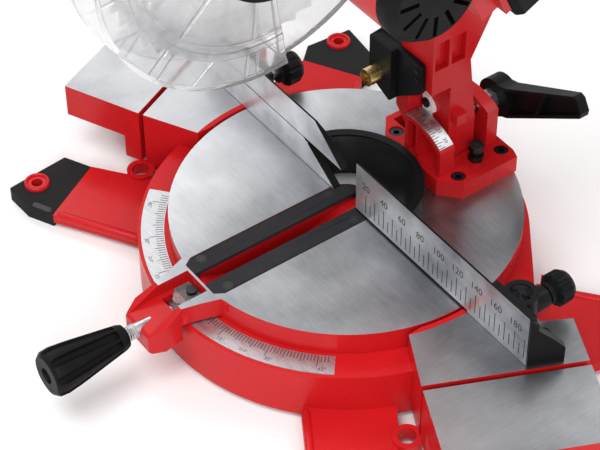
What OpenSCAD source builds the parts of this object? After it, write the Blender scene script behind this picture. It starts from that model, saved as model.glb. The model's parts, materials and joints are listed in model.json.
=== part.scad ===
// Cordless mitre saw, 210 mm blade, built as separate pieces.
// Frame: +X runs right along the fence, +Y to the back, +Z up.
// The origin is on the turntable's axis, in the plane of the bench.

/* [Table] */
// Height of the table top above the bench
table_h = 62; // [56:1:70]
// Radius of the turntable
table_r = 126; // [124:0.5:127]
// Height of the turntable's rim
table_rim_h = 17.7; // [16:0.1:19]
// Thickness of the table decks
deck_t = 6; // [5:0.5:7]
// Width of the kerf slot between the inserts
kerf_w = 12.4; // [11.5:0.1:14]
// Width over both kerf inserts
insert_w = 42; // [38:0.5:46]
// Thickness of a kerf insert
insert_t = 3.2; // [2.6:0.1:4]
// Width of the turntable's nose
nose_w = 38; // [36:0.5:44]

/* [Base] */
// Outer radius of the base ring
ring_r = 148.5; // [147:0.5:149]
// Thickness of the ring's wall
ring_wall = 6.5; // [5:0.5:8]
// Height of the base casting above the bench
base_z = 4; // [3:0.5:5]
// Top of the four arms above the bench
arm_top = 12; // [11:0.5:14]
// Distance between the bench bolts, left to right
bench_x = 394; // [388:1:398]
// Distance between the bench bolts, front to back
bench_y = 282; // [278:1:286]
// Radius of a bench bolt hole
bench_hole_r = 4.25; // [3:0.25:5]
// Radius of the front clamp holes
front_bore_r = 6.5; // [5:0.25:7.5]
// Sweep of the wings behind square
wing_sweep = 25; // [23:0.5:27]
// Length of a table extension
extension_len = 65; // [55:1:80]
// Radius of an extension rod
rod_r = 4.5; // [4:0.1:5]

/* [Fence] */
// Height of the right fence
fence_h = 44.4; // [42:0.2:48]
// Thickness of a fence plate
fence_t = 6; // [5:0.2:6.2]
// Face of the fence behind the turntable's axis
fence_y = 2; // [1.5:0.1:2.5]
// Half length of the fence
fence_half = 194; // [185:1:196]
// Height of the fixed left fence
low_fence_h = 24; // [22:0.2:24.4]
// Height of the sliding fence's top edge
slide_fence_top = 49; // [46:0.5:55]
// Radius of the clamp socket's bore
clamp_bore_r = 8; // [6.5:0.25:9]

/* [Column] */
// Half width of the column
arm_half = 17; // [15:0.25:17.4]
// Radius of the bevel pin
bevel_pin_r = 6; // [5:0.25:7]
// Greatest lean of the column to the left
bevel_max = 45; // [40:1:47]
// Height of the chop pivot above the table
pivot_h = 200; // [196:1:206]
// Radius of the chop pin
chop_pin_r = 7; // [5:0.25:8]
// Wire radius of the return spring
spring_wire_r = 1.6; // [1:0.1:1.7]

/* [Head] */
// Radius of the blade
blade_r = 105; // [100:0.5:106]
// Thickness of the blade's plate
blade_t = 1.8; // [1.4:0.1:2.4]
// Number of teeth
blade_teeth = 48; // [24:2:60]
// Swing of the head from raised to lowered
chop = 64; // [58:1:66]
// Radius of the motor housing
motor_r = 34; // [30:0.5:36]
// Length of the battery
battery_len = 110; // [90:1:120]

/* [Hidden] */
$fn = 64;

// Colours
red = [0.72, 0.09, 0.10];
silver = [0.78, 0.78, 0.80];
black = [0.10, 0.10, 0.11];
dark_grey = [0.24, 0.24, 0.26];
steel = [0.62, 0.63, 0.65];
clear = [0.80, 0.84, 0.86, 0.45];
brass = [0.72, 0.56, 0.28];
white = [0.90, 0.90, 0.88];

// Clearances: a running fit, a fit inside one body, and a gap between moving pieces
run = 0.05;
fit = 0.05;
gap = 0.3;
eps = 0.01;

// Slab between two corners
module slab(x0, x1, y0, y1, z0, z1) {
    translate([x0, y0, z0]) cube([x1 - x0, y1 - y0, z1 - z0]);
}

// Cylinders along the axes
module rod_x(x0, x1, y, z, r) {
    translate([x0, y, z]) rotate([0, 90, 0]) cylinder(h = x1 - x0, r = r);
}

module rod_y(y0, y1, x, z, r) {
    translate([x, y1, z]) rotate([90, 0, 0]) cylinder(h = y1 - y0, r = r);
}

module rod_z(z0, z1, x, y, r) {
    translate([x, y, z0]) cylinder(h = z1 - z0, r = r);
}

// Prisms along the axes: their outlines are in (y, z), (x, z) and (x, y)
module prism_x(x0, x1, outline) {
    translate([x0, 0, 0]) rotate([90, 0, 90]) linear_extrude(x1 - x0) polygon(outline);
}

module prism_y(y0, y1, outline) {
    translate([0, y1, 0]) rotate([90, 0, 0]) linear_extrude(y1 - y0) polygon(outline);
}

module prism_z(z0, z1, outline) {
    translate([0, 0, z0]) linear_extrude(z1 - z0) polygon(outline);
}

// Band about a Y axis at the origin, its angles from +Z towards +X
module band_y(y0, y1, r0, r1, a0, a1) {
    translate([0, y1, 0]) rotate([90, 0, 0]) rotate([0, 0, 90 - a1])
        rotate_extrude(angle = a1 - a0) translate([r0, 0]) square([r1 - r0, y1 - y0]);
}

// Section turned about an X axis at the origin, its angles from straight down towards +Y.
// The section's points are (radius, x).
module turn_x(section, a0, a1) {
    rotate([90, 0, 90]) rotate([0, 0, a0 - 90]) rotate_extrude(angle = a1 - a0) polygon(section);
}

module both_sides() {
    children();
    mirror([1, 0, 0]) children();
}

// Outline set inwards by d; its points run anticlockwise
function unit(v) = v / norm(v);
function inward(p, i) = let (e = unit(p[(i + 1) % len(p)] - p[i])) [-e[1], e[0]];
function inset(p, d) = [
    for (i = [0 : len(p) - 1])
        let (u = inward(p, (i + len(p) - 1) % len(p)), v = inward(p, i))
            p[i] + (u + v) * d / (1 + u * v)
];

// Heights of the table and the ring below it
turn_z = table_h - table_rim_h;
ring_top = turn_z - gap;
ring_in = 112;
ring_deck_z = ring_top - deck_t;
rim_t = 8;
room_r = table_r + 2.5;

// Hub, pivot bolt and blade trough under the table
hub_r = 24;
hub_z = 8.5;
hub_top = 33;
pivot_r = 8;
pivot_boss_r = 16;
pivot_boss_z = hub_top + gap;
pivot_head_h = 3.8;
pivot_top = 43;
blade_y = -60;
blade_z = table_h + 84;
trough_r = blade_r + 3.5;
trough_wall = 3.5;
trough_x0 = -10;
trough_x1 = 26;

// Wings, their extensions and the rods that carry them
wing_mid = [190, -12];
wing_depth = 114;
wing_z = 10;
wing_wall = 5;
wing_e = [sin(wing_sweep), cos(wing_sweep)];
wing_n = [cos(wing_sweep), -sin(wing_sweep)];
wing_front = wing_mid - wing_e * wing_depth / 2;
wing_rear = wing_mid + wing_e * wing_depth / 2;
wing_outline = [[125, -42], wing_front, wing_rear, wing_rear - wing_n * 38.6, [168, 36], [123, 36]];
rod_y_off = 35;
rod_level = 26;
rod_inside = 115;
extension_gap = 4;
extension_foot = 14;
extension_z = 34;
extension_wall = 5;

// Arms, pads and clamp bosses of the right half
front_arm = [[95, -108], [161, -149], [189, -98.5], [134, -57]];
rear_arm = [[105, 92], [140, 36], [182, 50], [195.6, 104.5], [151, 129.7]];
front_pad = [[161, -149], [181, -159], [205, -160], [210, -109], [189, -98.5]];
rear_pad = [[151, 129.7], [195.6, 104.5], [208, 118], [205, 158], [165, 153], [153.6, 147]];
front_tongue = [[192, -150], [202, -130], [184, -104], [166, -146]];
rear_tongue = [[158, 124], [190, 104], [203, 133], [191, 150]];
tongue_z = [base_z, 8];
bench_boss_r = 8.5;
bench_boss_top = 13;
pad_top = arm_top;
front_boss = [162.5, -71];
front_boss_r = front_bore_r + 4;
front_boss_top = 14;
spoke_angles = [60, 120, 235, 270, 305];
spoke_t = 5;
spoke_top = 30;
scale_span = 50;
scale_edge = 2.5;
scale_w = 16.5;
scale_t = 0.6;

// Kerf inserts and their screws
insert_y0 = -125;
insert_y1 = 17;
insert_cut = [4.2, 6.5];
slot_half = 10;
screw_x = 16;
screw_ys = [-113, -4.7];
screw_r = 1.9;
screw_head_r = 3.8;
screw_head_h = 2;

// Nose, pointer pocket and lock rod
neck_z = ring_top + 2;
neck_half = nose_w / 2;
neck_tip = neck_half - 3;
neck_y = -139;
flare_half = neck_half + 6;
flare_y = -120.6;
nose_y0 = -177;
nose_y1 = -151;
nose_z = table_h - 30;
nose_drop = 13;
nose_half = neck_half - 0.5;
nose_corner = [5, 11];
valley_depth = 10;
pocket_half = 12;
pocket_depth = 10;
pocket_y0 = nose_y1 - 1.6;
pocket_y1 = -127;
window_half = 8;
window_y1 = -139.5;
pointer_screw_y = -132;
pointer_z = table_h - pocket_depth;
pointer_t = 2;
lock_z = table_h - 17;
lock_r = 5;
lock_end = -ring_r - 0.7;
handle_y1 = -187;

// Bevel bracket: front scale wall, plate, rear cheek
plate_t = 14;
wall_y0 = 60;
wall_y1 = 73;
cheek_y0 = 108;
cheek_y1 = 118;
bracket_bolt_at = [[-28, 66.5], [35.5, 72.5], [-32, 115], [32, 115]];
bolt_r = 3;
bolt_head_r = 5;
bolt_head_h = 5;
pin_boss_r = 10;
scale_r = 47;
wall_x0 = -10.5;
wall_x1 = 29.5;
wall_rib = 3.5;
wall_web = 2.5;
mid_rib_x = 1.5;
stop_at = [29, 94];
stud_r = 4;
stud_at = [7, 40];
slot_r = norm(stud_at);
stud_angle = atan2(stud_at[0], stud_at[1]);
stud_span = 1.2 * asin((stud_r + gap) / slot_r);

// Fence
fence_z = table_h + 0.4;
fence_back = fence_y + fence_t;
foot_t = 5;
foot_y1 = 30;
foot_x0 = room_r + 1.5;
foot_x1 = fence_half - 4;
fence_rib_d = 4;
fence_rib_step = 34;
bowl_r = 55;
bowl_wall = 6;
bowl_h = 22;
fence_bolt_xs = [fence_half - 43.5, fence_half - 10];
fence_bolt_y = 24.6;
clamp_at = [fence_half - 27.5, fence_back + clamp_bore_r + 1.5];
clamp_boss_r = clamp_bore_r + 4;
clamp_boss_h = 38;
clamp_knob_z = table_h + 22;
clamp_end = clamp_at[1] + clamp_boss_r + 9;
knob_stud_r = 3;
fence_knob_x = -132;
fence_knob_z = table_h + 15;
fence_wall_y0 = 13;
fence_wall_y1 = 19;
flange_t = 4;

// Frame of the right wing: +X points out along the rods
module at_wing() {
    translate([wing_mid[0], wing_mid[1], 0]) rotate([0, 0, -wing_sweep]) children();
}

// Base casting: ring, hub, wings, arms and bosses
module wing() {
    difference() {
        prism_z(wing_z, table_h, wing_outline);
        prism_z(wing_z - 1, table_h - deck_t, inset(wing_outline, wing_wall));
    }
}

module arms() {
    prism_z(base_z, arm_top, front_arm);
    prism_z(base_z, arm_top, rear_arm);
    prism_z(tongue_z[0], tongue_z[1], front_tongue);
    prism_z(tongue_z[0], tongue_z[1], rear_tongue);
    for (s = [-1, 1])
        rod_z(0, bench_boss_top, bench_x / 2, s * bench_y / 2, bench_boss_r);
    rod_z(base_z, front_boss_top, front_boss[0], front_boss[1], front_boss_r);
}

module ring() {
    inner = ring_r - ring_wall;
    rotate_extrude()
        polygon([[inner, base_z], [ring_r, base_z], [ring_r, ring_top], [ring_in, ring_top],
                 [ring_in, ring_deck_z], [inner, ring_deck_z]]);
    rod_z(hub_z, hub_top, 0, 0, hub_r);
    for (a = spoke_angles)
        rotate([0, 0, a]) slab(hub_r - 2, inner + 1, -spoke_t / 2, spoke_t / 2, base_z + 1, spoke_top);
}

module base_casting() {
    color(red) difference() {
        union() {
            ring();
            both_sides() wing();
            both_sides() arms();
        }
        rod_z(0, hub_top + 1, 0, 0, pivot_r);
        rod_z(ring_top, table_h + 1, 0, 0, room_r);
        both_sides() {
            for (s = [-1, 1]) {
                at_wing() rod_x(-rod_inside - 5, 1, s * rod_y_off, rod_level, rod_r + run);
                rod_z(-1, bench_boss_top + 1, bench_x / 2, s * bench_y / 2, bench_hole_r);
            }
            rod_z(0, front_boss_top + 1, front_boss[0], front_boss[1], front_bore_r);
            for (x = fence_bolt_xs)
                rod_z(table_h - deck_t - 1, table_h + 1, x, fence_bolt_y, bolt_r + fit);
        }
    }
}

module pad(outline, tongue, y) {
    difference() {
        prism_z(0, pad_top, outline);
        prism_z(tongue_z[0] - fit, tongue_z[1] + fit, inset(tongue, -fit));
        rod_z(-1, pad_top + 1, bench_x / 2, y, bench_boss_r + fit);
    }
}

module foot_pads() {
    color(black) both_sides() {
        pad(front_pad, front_tongue, -bench_y / 2);
        pad(rear_pad, rear_tongue, bench_y / 2);
    }
}

module mitre_scales() {
    color(silver) rotate([0, 0, -90 - scale_span]) rotate_extrude(angle = 2 * scale_span)
        translate([ring_r - scale_edge - scale_w, ring_top]) square([scale_w, scale_t]);
}

// Turntable
module insert_outline(g) {
    half = insert_w / 2 + g;
    intersection() {
        union() {
            polygon([[-half, 0], [-half, insert_y0 + insert_cut[1]], [insert_cut[0] - half, insert_y0 - g],
                     [half - insert_cut[0], insert_y0 - g], [half, insert_y0 + insert_cut[1]], [half, 0]]);
            circle(half);
        }
        translate([-insert_w, insert_y0 - g]) square([2 * insert_w, insert_y1 - insert_y0 + 2 * g]);
    }
}

module trough(r, x0, x1, top) {
    intersection() {
        rod_x(x0, x1, blade_y, blade_z, r);
        slab(x0, x1, -124, 20, 0, top);
    }
}

// Neck in plan: it flares into the table and narrows to the nose
module neck() {
    prism_z(neck_z, table_h, [[-flare_half, flare_y], [-neck_half, neck_y], [-neck_tip, nose_y1],
                              [neck_tip, nose_y1], [neck_half, neck_y], [flare_half, flare_y]]);
}

// Nose: a block with cut corners, whose top falls between two ridges to a valley
module nose() {
    front = table_h - nose_drop;
    rear_y = nose_y1 + 1;
    difference() {
        intersection() {
            prism_x(-neck_half, neck_half, [[rear_y, table_h - 0.4], [nose_y0 + 2, front],
                [nose_y0, front - 2], [nose_y0, nose_z + 2], [nose_y0 + 2, nose_z], [nose_y1, nose_z],
                [nose_y1, neck_z + 1], [rear_y, neck_z + 1]]);
            prism_z(nose_z - 1, table_h, [[-neck_tip, rear_y + 1], [-nose_half, nose_y0 + nose_corner[1]],
                [nose_corner[0] - nose_half, nose_y0 - 1], [nose_half - nose_corner[0], nose_y0 - 1],
                [nose_half, nose_y0 + nose_corner[1]], [neck_tip, rear_y + 1]]);
        }
        prism_x(-pocket_half - 0.6, pocket_half + 0.6, [[nose_y1 + 3, table_h + 1],
            [nose_y1 + 3, table_h - valley_depth], [nose_y0 + 2, front], [nose_y0 - 1, front],
            [nose_y0 - 1, table_h + 1]]);
    }
}

module turntable() {
    color(red) difference() {
        union() {
            difference() {
                rod_z(turn_z, table_h, 0, 0, table_r);
                rod_z(turn_z - 1, table_h - deck_t, 0, 0, table_r - rim_t);
            }
            rod_z(pivot_boss_z, table_h - 1, 0, 0, pivot_boss_r);
            trough(trough_r + trough_wall, trough_x0 - 4, trough_x1 + 4, table_h - 1);
            neck();
            nose();
        }
        trough(trough_r, trough_x0, trough_x1, table_h - deck_t);
        slab(-slot_half, slot_half, insert_y0 + 1, insert_y1 - 2, table_h - deck_t - 1, table_h + 1);
        translate([0, 0, table_h - insert_t - fit]) linear_extrude(insert_t + 1) insert_outline(0.2);
        rod_z(pivot_boss_z - 1, pivot_top + fit, 0, 0, pivot_r);
        slab(-arm_half - 0.5, arm_half + 0.5, wall_y0 - 2, cheek_y1 + 1, turn_z - 1, table_h + 1);
        slab(-arm_half - 9, 0, 75, 103, turn_z - 1, table_h + 1);
        slab(-pocket_half, pocket_half, pocket_y0, pocket_y1, table_h - pocket_depth, table_h + 1);
        slab(-window_half, window_half, nose_y1, window_y1, neck_z - 1, table_h);
        rod_z(neck_z - 1, table_h, 0, pointer_screw_y, screw_r + fit);
        rod_y(nose_y0 - 1, lock_end + 1, 0, lock_z, lock_r + run);
        for (s = [-1, 1]) {
            for (y = screw_ys)
                rod_z(turn_z, table_h, s * screw_x, y, screw_r + fit);
        }
        for (p = bracket_bolt_at)
            rod_z(table_h - deck_t - 1, table_h + 1, p[0], p[1], bolt_r + fit);
    }
}

module pivot_bolt() {
    color(steel) {
        rod_z(hub_z - gap, pivot_top, 0, 0, pivot_r - run);
        rod_z(hub_z - gap - pivot_head_h, hub_z - gap, 0, 0, pivot_r + 6);
    }
}

module kerf_inserts() {
    color(dark_grey) difference() {
        translate([0, 0, table_h - insert_t]) linear_extrude(insert_t) insert_outline(0);
        slab(-kerf_w / 2, kerf_w / 2, insert_y0 - 1, insert_y1 + 1, turn_z, table_h + 1);
        for (x = [-screw_x, screw_x], y = screw_ys) {
            rod_z(turn_z, table_h, x, y, screw_r + fit);
            translate([x, y, table_h - screw_head_h - 0.1])
                cylinder(h = screw_head_h + 0.2, r1 = screw_r, r2 = screw_head_r + 0.2);
        }
    }
}

// Countersunk screw with its head's top at z
module flat_screw(x, y, z, length) {
    translate([x, y, z - screw_head_h]) cylinder(h = screw_head_h, r1 = screw_r, r2 = screw_head_r);
    rod_z(z - length, z - screw_head_h, x, y, screw_r);
}

module insert_screws() {
    color(black) for (x = [-screw_x, screw_x], y = screw_ys)
        flat_screw(x, y, table_h - 0.1, 7.5);
}

module mitre_pointer() {
    color(clear) difference() {
        prism_z(pointer_z, pointer_z + pointer_t, [[-9.5, -128], [-9.5, -140], [-2, -146.5], [2, -146.5],
                                                   [9.5, -140], [9.5, -128]]);
        rod_z(pointer_z - 1, table_h, 0, pointer_screw_y, screw_r + fit);
    }
}

module pointer_screw() {
    color(black) {
        rod_z(pointer_z + pointer_t, pointer_z + pointer_t + 2.4, 0, pointer_screw_y, screw_head_r);
        rod_z(neck_z + 1, pointer_z + pointer_t, 0, pointer_screw_y, screw_r);
    }
}

// Bevel bracket: its pivot lies in the plane of the table top
module at_bevel() {
    translate([0, 0, table_h]) children();
}

module bracket_plate() {
    difference() {
        intersection() {
            prism_z(table_h, table_h + plate_t,
                    [[-29, 57], [30, 57], [45, 70], [45, 122], [-45, 122], [-45, 70]]);
            rod_z(table_h, table_h + plate_t, 0, 0, table_r + 1.5);
        }
        slab(-40, arm_half + 1, wall_y1 + 0.2, cheek_y0 - 0.2, table_h - 1, table_h + plate_t + 1);
    }
}

module scale_wall() {
    at_bevel() intersection() {
        rod_y(wall_y0, wall_y1, 0, 0, scale_r);
        slab(wall_x0, wall_x1, wall_y0 - 1, wall_y1 + 1, plate_t - 3, scale_r + 1);
    }
}

// Hollows of the scale wall, on each side of its middle rib
module wall_hollows() {
    at_bevel() intersection() {
        rod_y(wall_y0 - 1, wall_y1 - wall_web, 0, 0, scale_r - wall_rib);
        union() {
            slab(wall_x0 + wall_rib, mid_rib_x, wall_y0 - 2, wall_y1, plate_t + 1, scale_r);
            slab(mid_rib_x + wall_web, wall_x1 - wall_rib, wall_y0 - 2, wall_y1, plate_t + 1, scale_r);
        }
    }
}

module bevel_cheek() {
    at_bevel() intersection() {
        rod_y(cheek_y0, cheek_y1, 0, 0, 51);
        slab(-44, 23, cheek_y0 - 1, cheek_y1 + 1, plate_t - 3, 60);
    }
}

module bevel_bracket() {
    color(red) difference() {
        union() {
            bracket_plate();
            scale_wall();
            bevel_cheek();
            at_bevel() {
                rod_y(wall_y0 - 1, wall_y1 - 0.3, 0, 0, pin_boss_r);
                rod_y(cheek_y0 + 0.3, cheek_y1 - 0.3, 0, 0, pin_boss_r);
            }
        }
        at_bevel() {
            rod_y(wall_y0 - 3, cheek_y1 + 1, 0, 0, bevel_pin_r + fit);
            band_y(cheek_y0 - 1, cheek_y1 + 1, slot_r - stud_r - gap, slot_r + stud_r + gap,
                   stud_angle - bevel_max - stud_span, stud_angle + stud_span);
        }
        wall_hollows();
        for (p = bracket_bolt_at) {
            rod_z(table_h - 1, table_h + plate_t, p[0], p[1], bolt_r + fit);
            rod_z(table_h + plate_t - 6, table_h + plate_t + 1, p[0], p[1], bolt_head_r + 0.5);
        }
        rod_z(table_h + 2, table_h + plate_t + 1, stop_at[0], stop_at[1], bolt_r + fit);
    }
}

// Socket screw standing on z, with a hexagon socket
module socket_bolt(x, y, z, length) {
    difference() {
        rod_z(z, z + bolt_head_h, x, y, bolt_head_r);
        translate([x, y, z + bolt_head_h - 2.5]) cylinder(h = 3, r = 2.4, $fn = 6);
    }
    rod_z(z - length, z, x, y, bolt_r);
}

module bracket_bolts() {
    color(black) for (p = bracket_bolt_at)
        socket_bolt(p[0], p[1], table_h + plate_t - 6, plate_t - 2);
}

module bevel_pin() {
    color(steel) at_bevel() rod_y(wall_y0 - 1, cheek_y1 + 0.5, 0, 0, bevel_pin_r);
}

module bevel_scale() {
    color(silver) at_bevel() band_y(wall_y0 + 0.5, wall_y1 - 0.5, scale_r, scale_r + 1.2, -12, 36);
}

module stop_bolt() {
    color(black) {
        rod_z(table_h + 3, table_h + 28, stop_at[0], stop_at[1], bolt_r);
        translate([stop_at[0], stop_at[1], table_h + plate_t]) cylinder(h = 5, r = 5.8, $fn = 6);
        translate([stop_at[0], stop_at[1], table_h + 23]) cylinder(h = 4.5, r = 5.8, $fn = 6);
    }
}

// Mitre lock: fluted handle on its rod
module mitre_handle() {
    color(black) difference() {
        translate([0, handle_y1, lock_z]) rotate([90, 0, 0]) rotate_extrude()
            polygon([[0, 0], [8.3, 0], [9.5, 3], [15.5, 40], [17, 52], [16.5, 58], [14, 61], [6, 61],
                     [5, 55], [0, 55]]);
        for (a = [22.5 : 45 : 359])
            translate([0, handle_y1 - 64, lock_z]) rotate([0, a, 0]) translate([0, 0, 18.4])
                rotate([-98, 0, 0]) cylinder(h = 58, r = 3.2);
        rod_y(handle_y1 - 25, handle_y1 + 1, 0, lock_z, lock_r + fit);
    }
}

module lock_rod() {
    color(steel) rod_y(handle_y1 - 24, lock_end, 0, lock_z, lock_r);
}

// Fixed fence: right plate, low left plate, bowl behind the blade, feet and clamp socket
module fence_gusset() {
    translate([fence_half, fence_y, table_h]) rotate([0, 0, -wing_sweep])
        prism_x(-fence_t, 0, [[0, 0], [25.5, 0], [25.5, 13.6], [17, 23], [6, 33.3], [6, 38.6],
                              [0, fence_h - 0.6]]);
}

module fence_plates() {
    prism_z(fence_z, table_h + fence_h, [[8.5, fence_y], [fence_half - 1, fence_y],
                                         [fence_half - 1, fence_back], [16, fence_back]]);
    prism_y(fence_y, fence_back, [[-fence_half, fence_z], [-17.9, fence_z], [-17.9, table_h + 1],
        [-52, table_h + low_fence_h - 1], [-54, table_h + low_fence_h],
        [-fence_half, table_h + low_fence_h]]);
}

module fence_feet() {
    for (s = [-1, 1])
        slab(s > 0 ? foot_x0 : -foot_x1, s > 0 ? foot_x1 : -foot_x0 - 1, fence_back - eps, foot_y1,
             table_h, table_h + foot_t);
    slab(bowl_r - 3, foot_x0 + 1, fence_back - eps, fence_back + fence_rib_d, fence_z, table_h + foot_t);
    slab(fence_knob_x - 18, fence_knob_x + 18, fence_back - eps, fence_wall_y1, fence_z, table_h + foot_t);
    slab(fence_knob_x - 18, fence_knob_x + 18, fence_wall_y0, fence_wall_y1, fence_z, fence_knob_z + 19);
    for (x = [bowl_r + 5 : fence_rib_step : foot_x0])
        prism_x(x, x + fence_rib_d, [[fence_back - eps, fence_z], [fence_back + fence_rib_d, fence_z],
                                     [fence_back - eps, table_h + fence_h - 6]]);
}

module clamp_socket() {
    rod_z(table_h, table_h + clamp_boss_h, clamp_at[0], clamp_at[1], clamp_boss_r);
    rod_y(clamp_at[1], clamp_end, clamp_at[0], clamp_knob_z, 8);
}

module fence_casting() {
    color(black) difference() {
        union() {
            fence_plates();
            fence_gusset();
            fence_feet();
            clamp_socket();
            rotate_extrude(angle = 180)
                translate([bowl_r - bowl_wall, fence_z]) square([bowl_wall, bowl_h]);
        }
        slab(-bowl_r, bowl_r, -1, fence_y, fence_z - 1, table_h + fence_h);
        rod_z(table_h - 1, table_h + clamp_boss_h + 1, clamp_at[0], clamp_at[1], clamp_bore_r);
        rod_y(clamp_at[1], clamp_end + 1, clamp_at[0], clamp_knob_z, knob_stud_r + run);
        rod_y(fence_wall_y0 - 1, fence_wall_y1 + 1, fence_knob_x, fence_knob_z, knob_stud_r + run);
        for (s = [-1, 1], x = fence_bolt_xs)
            rod_z(table_h - 1, table_h + foot_t + 1, s * x, fence_bolt_y, bolt_r + fit);
    }
}

module fence_bolts() {
    color(black) for (s = [-1, 1], x = fence_bolt_xs)
        socket_bolt(s * x, fence_bolt_y, table_h + foot_t, foot_t + deck_t + 3);
}

// Sliding fence: tall plate with a flange that runs behind the low plate
module sliding_fence() {
    low = table_h + low_fence_h + 0.8;
    top = table_h + slide_fence_top;
    back = fence_back + 0.4;
    color(black) {
        prism_y(fence_y, fence_back, [[-fence_half, low], [-8.6, low], [-39.6, top], [-fence_half, top]]);
        prism_x(-175, -bowl_r - 2, [[fence_back - eps, low], [back, low], [back, table_h + 6],
            [back + flange_t, table_h + 6], [back + flange_t, top - 4], [fence_back - eps, top]]);
    }
}

// Ridged knob on a stud: it stands along +Y from y
module ridged_knob(x, y, z, r, h) {
    difference() {
        translate([x, y, z]) rotate([-90, 0, 0]) rotate_extrude()
            polygon([[0, 0], [r * 0.6, 0], [r * 0.62, 3], [r, 6], [r, h - 4], [r * 0.8, h], [0, h]]);
        for (a = [0 : 30 : 359])
            translate([x, y - 1, z]) rotate([0, a, 0]) translate([0, 0, r + 1]) rotate([-90, 0, 0])
                cylinder(h = h + 2, r = 2.2);
        rod_y(y - 1, y + 10, x, z, knob_stud_r + fit);
    }
}

module fence_knob() {
    color(black) ridged_knob(fence_knob_x, 33, fence_knob_z, 13, 19);
}

module fence_knob_stud() {
    color(steel) rod_y(fence_back + 0.4 + flange_t + gap, 42, fence_knob_x, fence_knob_z, knob_stud_r);
}

module clamp_knob() {
    color(black) ridged_knob(clamp_at[0], clamp_end + 2, clamp_knob_z, 12, 18);
}

module clamp_knob_stud() {
    color(steel)
        rod_y(clamp_at[1] + clamp_bore_r + 0.4, clamp_end + 11, clamp_at[0], clamp_knob_z, knob_stud_r);
}

// Table extensions
module extension() {
    half = wing_depth / 2;
    x0 = extension_gap;
    x1 = extension_gap + extension_len;
    at_wing() difference() {
        union() {
            slab(x0, x1, -half, half, extension_z, table_h);
            slab(x0, x0 + extension_foot, -half, half, wing_z + 4, table_h);
        }
        slab(x0 + extension_foot, x1 - extension_wall, extension_wall - half, half - extension_wall,
             extension_z - 1, table_h - extension_wall);
        for (s = [-1, 1])
            rod_x(x0 - 1, x0 + extension_foot - 2, s * rod_y_off, rod_level, rod_r + fit);
    }
}

module extension_rods() {
    at_wing() for (s = [-1, 1])
        rod_x(-rod_inside, extension_gap + extension_foot - 2.5, s * rod_y_off, rod_level, rod_r);
}

module right_extension() {
    color(red) extension();
}

module right_extension_rods() {
    color(steel) extension_rods();
}

module left_extension() {
    color(red) mirror([1, 0, 0]) extension();
}

module left_extension_rods() {
    color(steel) mirror([1, 0, 0]) extension_rods();
}

// Column on the bevel pin, with two ears for the chop pin
pivot_y = 95;
pivot_z = table_h + pivot_h;
hub_arm_r = 16;
column_top = table_h + 145;
ear_in = 10;
ear_r = 18;
knuckle_half = ear_in - 0.5;
head_lock_at = [95, pivot_z - 32];
head_lock_r = 4;
lever_at = [stud_at[0], table_h + stud_at[1]];
lever_y0 = cheek_y1 + 0.4;
lever_face = 126;
lever_y1 = 139;
lever_rise = 31;
lever_len = 101;
lever_hub_r = 15;
lever_wall = 2.6;
lever_tip_t = 7.5;
lever_pocket_d = 4.6;
lever_outline = [[0, -14], [10, -15.5], [lever_len - 3, -9.5], [lever_len, -6], [lever_len, 4],
                 [lever_len - 3, 7], [20, 8], [0, 13]];
column_front = wall_y0;
column_step = table_h + 51;
window_ys = [62, 76.5];
arm_window = [12, 24];
arm_window_d = 5;
window_z = column_top - 43;

module tilt_arm() {
    color(red) difference() {
        union() {
            at_bevel() rod_y(wall_y1 + 0.5, cheek_y0 - 0.5, 0, 0, hub_arm_r);
            prism_x(-arm_half, arm_half, [[77, table_h], [101, table_h], [101, table_h + 42],
                [94, table_h + 98], [113, column_top - 10], [113, column_top], [66, column_top],
                [column_front, column_top - 8], [column_front, column_step + 2],
                [column_front + 2, column_step], [77, column_step]]);
            for (s = [-1, 1]) {
                x0 = s > 0 ? ear_in : -arm_half;
                slab(x0, x0 + arm_half - ear_in, 77, 113, column_top - eps, pivot_z);
                rod_x(x0, x0 + arm_half - ear_in, pivot_y, pivot_z, ear_r);
            }
            slab(arm_half - eps, arm_half + 6, 79.5, 88.5, table_h + 47.5, table_h + 56.5);
        }
        at_bevel() rod_y(wall_y1 - 1, cheek_y0 + 1, 0, 0, bevel_pin_r + run);
        rod_x(-arm_half - 1, arm_half + 1, pivot_y, pivot_z, chop_pin_r + fit);
        rod_x(ear_in - 1, arm_half + 1, head_lock_at[0], head_lock_at[1], head_lock_r + run);
        for (s = [-1, 1]) {
            x0 = s > 0 ? arm_half - arm_window_d : -arm_half - 1;
            for (y = window_ys)
                slab(x0, x0 + arm_window_d + 1, y, y + arm_window[0], window_z, window_z + arm_window[1]);
        }
    }
}

module bevel_pointer() {
    color(white) prism_y(wall_y1 + 1, 77, [[-9, table_h + 38], [-1, table_h + 38], [-1, table_h + 47],
        [0, table_h + 50.5], [-9, table_h + 50.5]]);
}

module bevel_stud() {
    color(steel) {
        rod_y(101, lever_y1 - 4, lever_at[0], lever_at[1], stud_r);
        translate([lever_at[0], lever_face - gap, lever_at[1]]) rotate([90, 0, 0])
            cylinder(h = lever_face - gap - lever_y0, r = 8, $fn = 6);
    }
}

// Lever frame: +X runs out along the paddle
module at_lever() {
    translate([lever_at[0], 0, lever_at[1]]) rotate([0, -lever_rise, 0]) children();
}

// Pockets of the paddle's face, parted by a slanted rib
module lever_pockets() {
    difference() {
        prism_y(lever_face - 1, lever_face + lever_pocket_d, inset(lever_outline, lever_wall));
        rod_y(lever_face - 2, lever_y1, 0, 0, lever_hub_r + lever_wall);
        translate([lever_len * 0.55, 0, -3]) rotate([0, -42, 0])
            slab(-20, 20, lever_face - 2, lever_y1, -lever_wall / 2, lever_wall / 2);
    }
}

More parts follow.
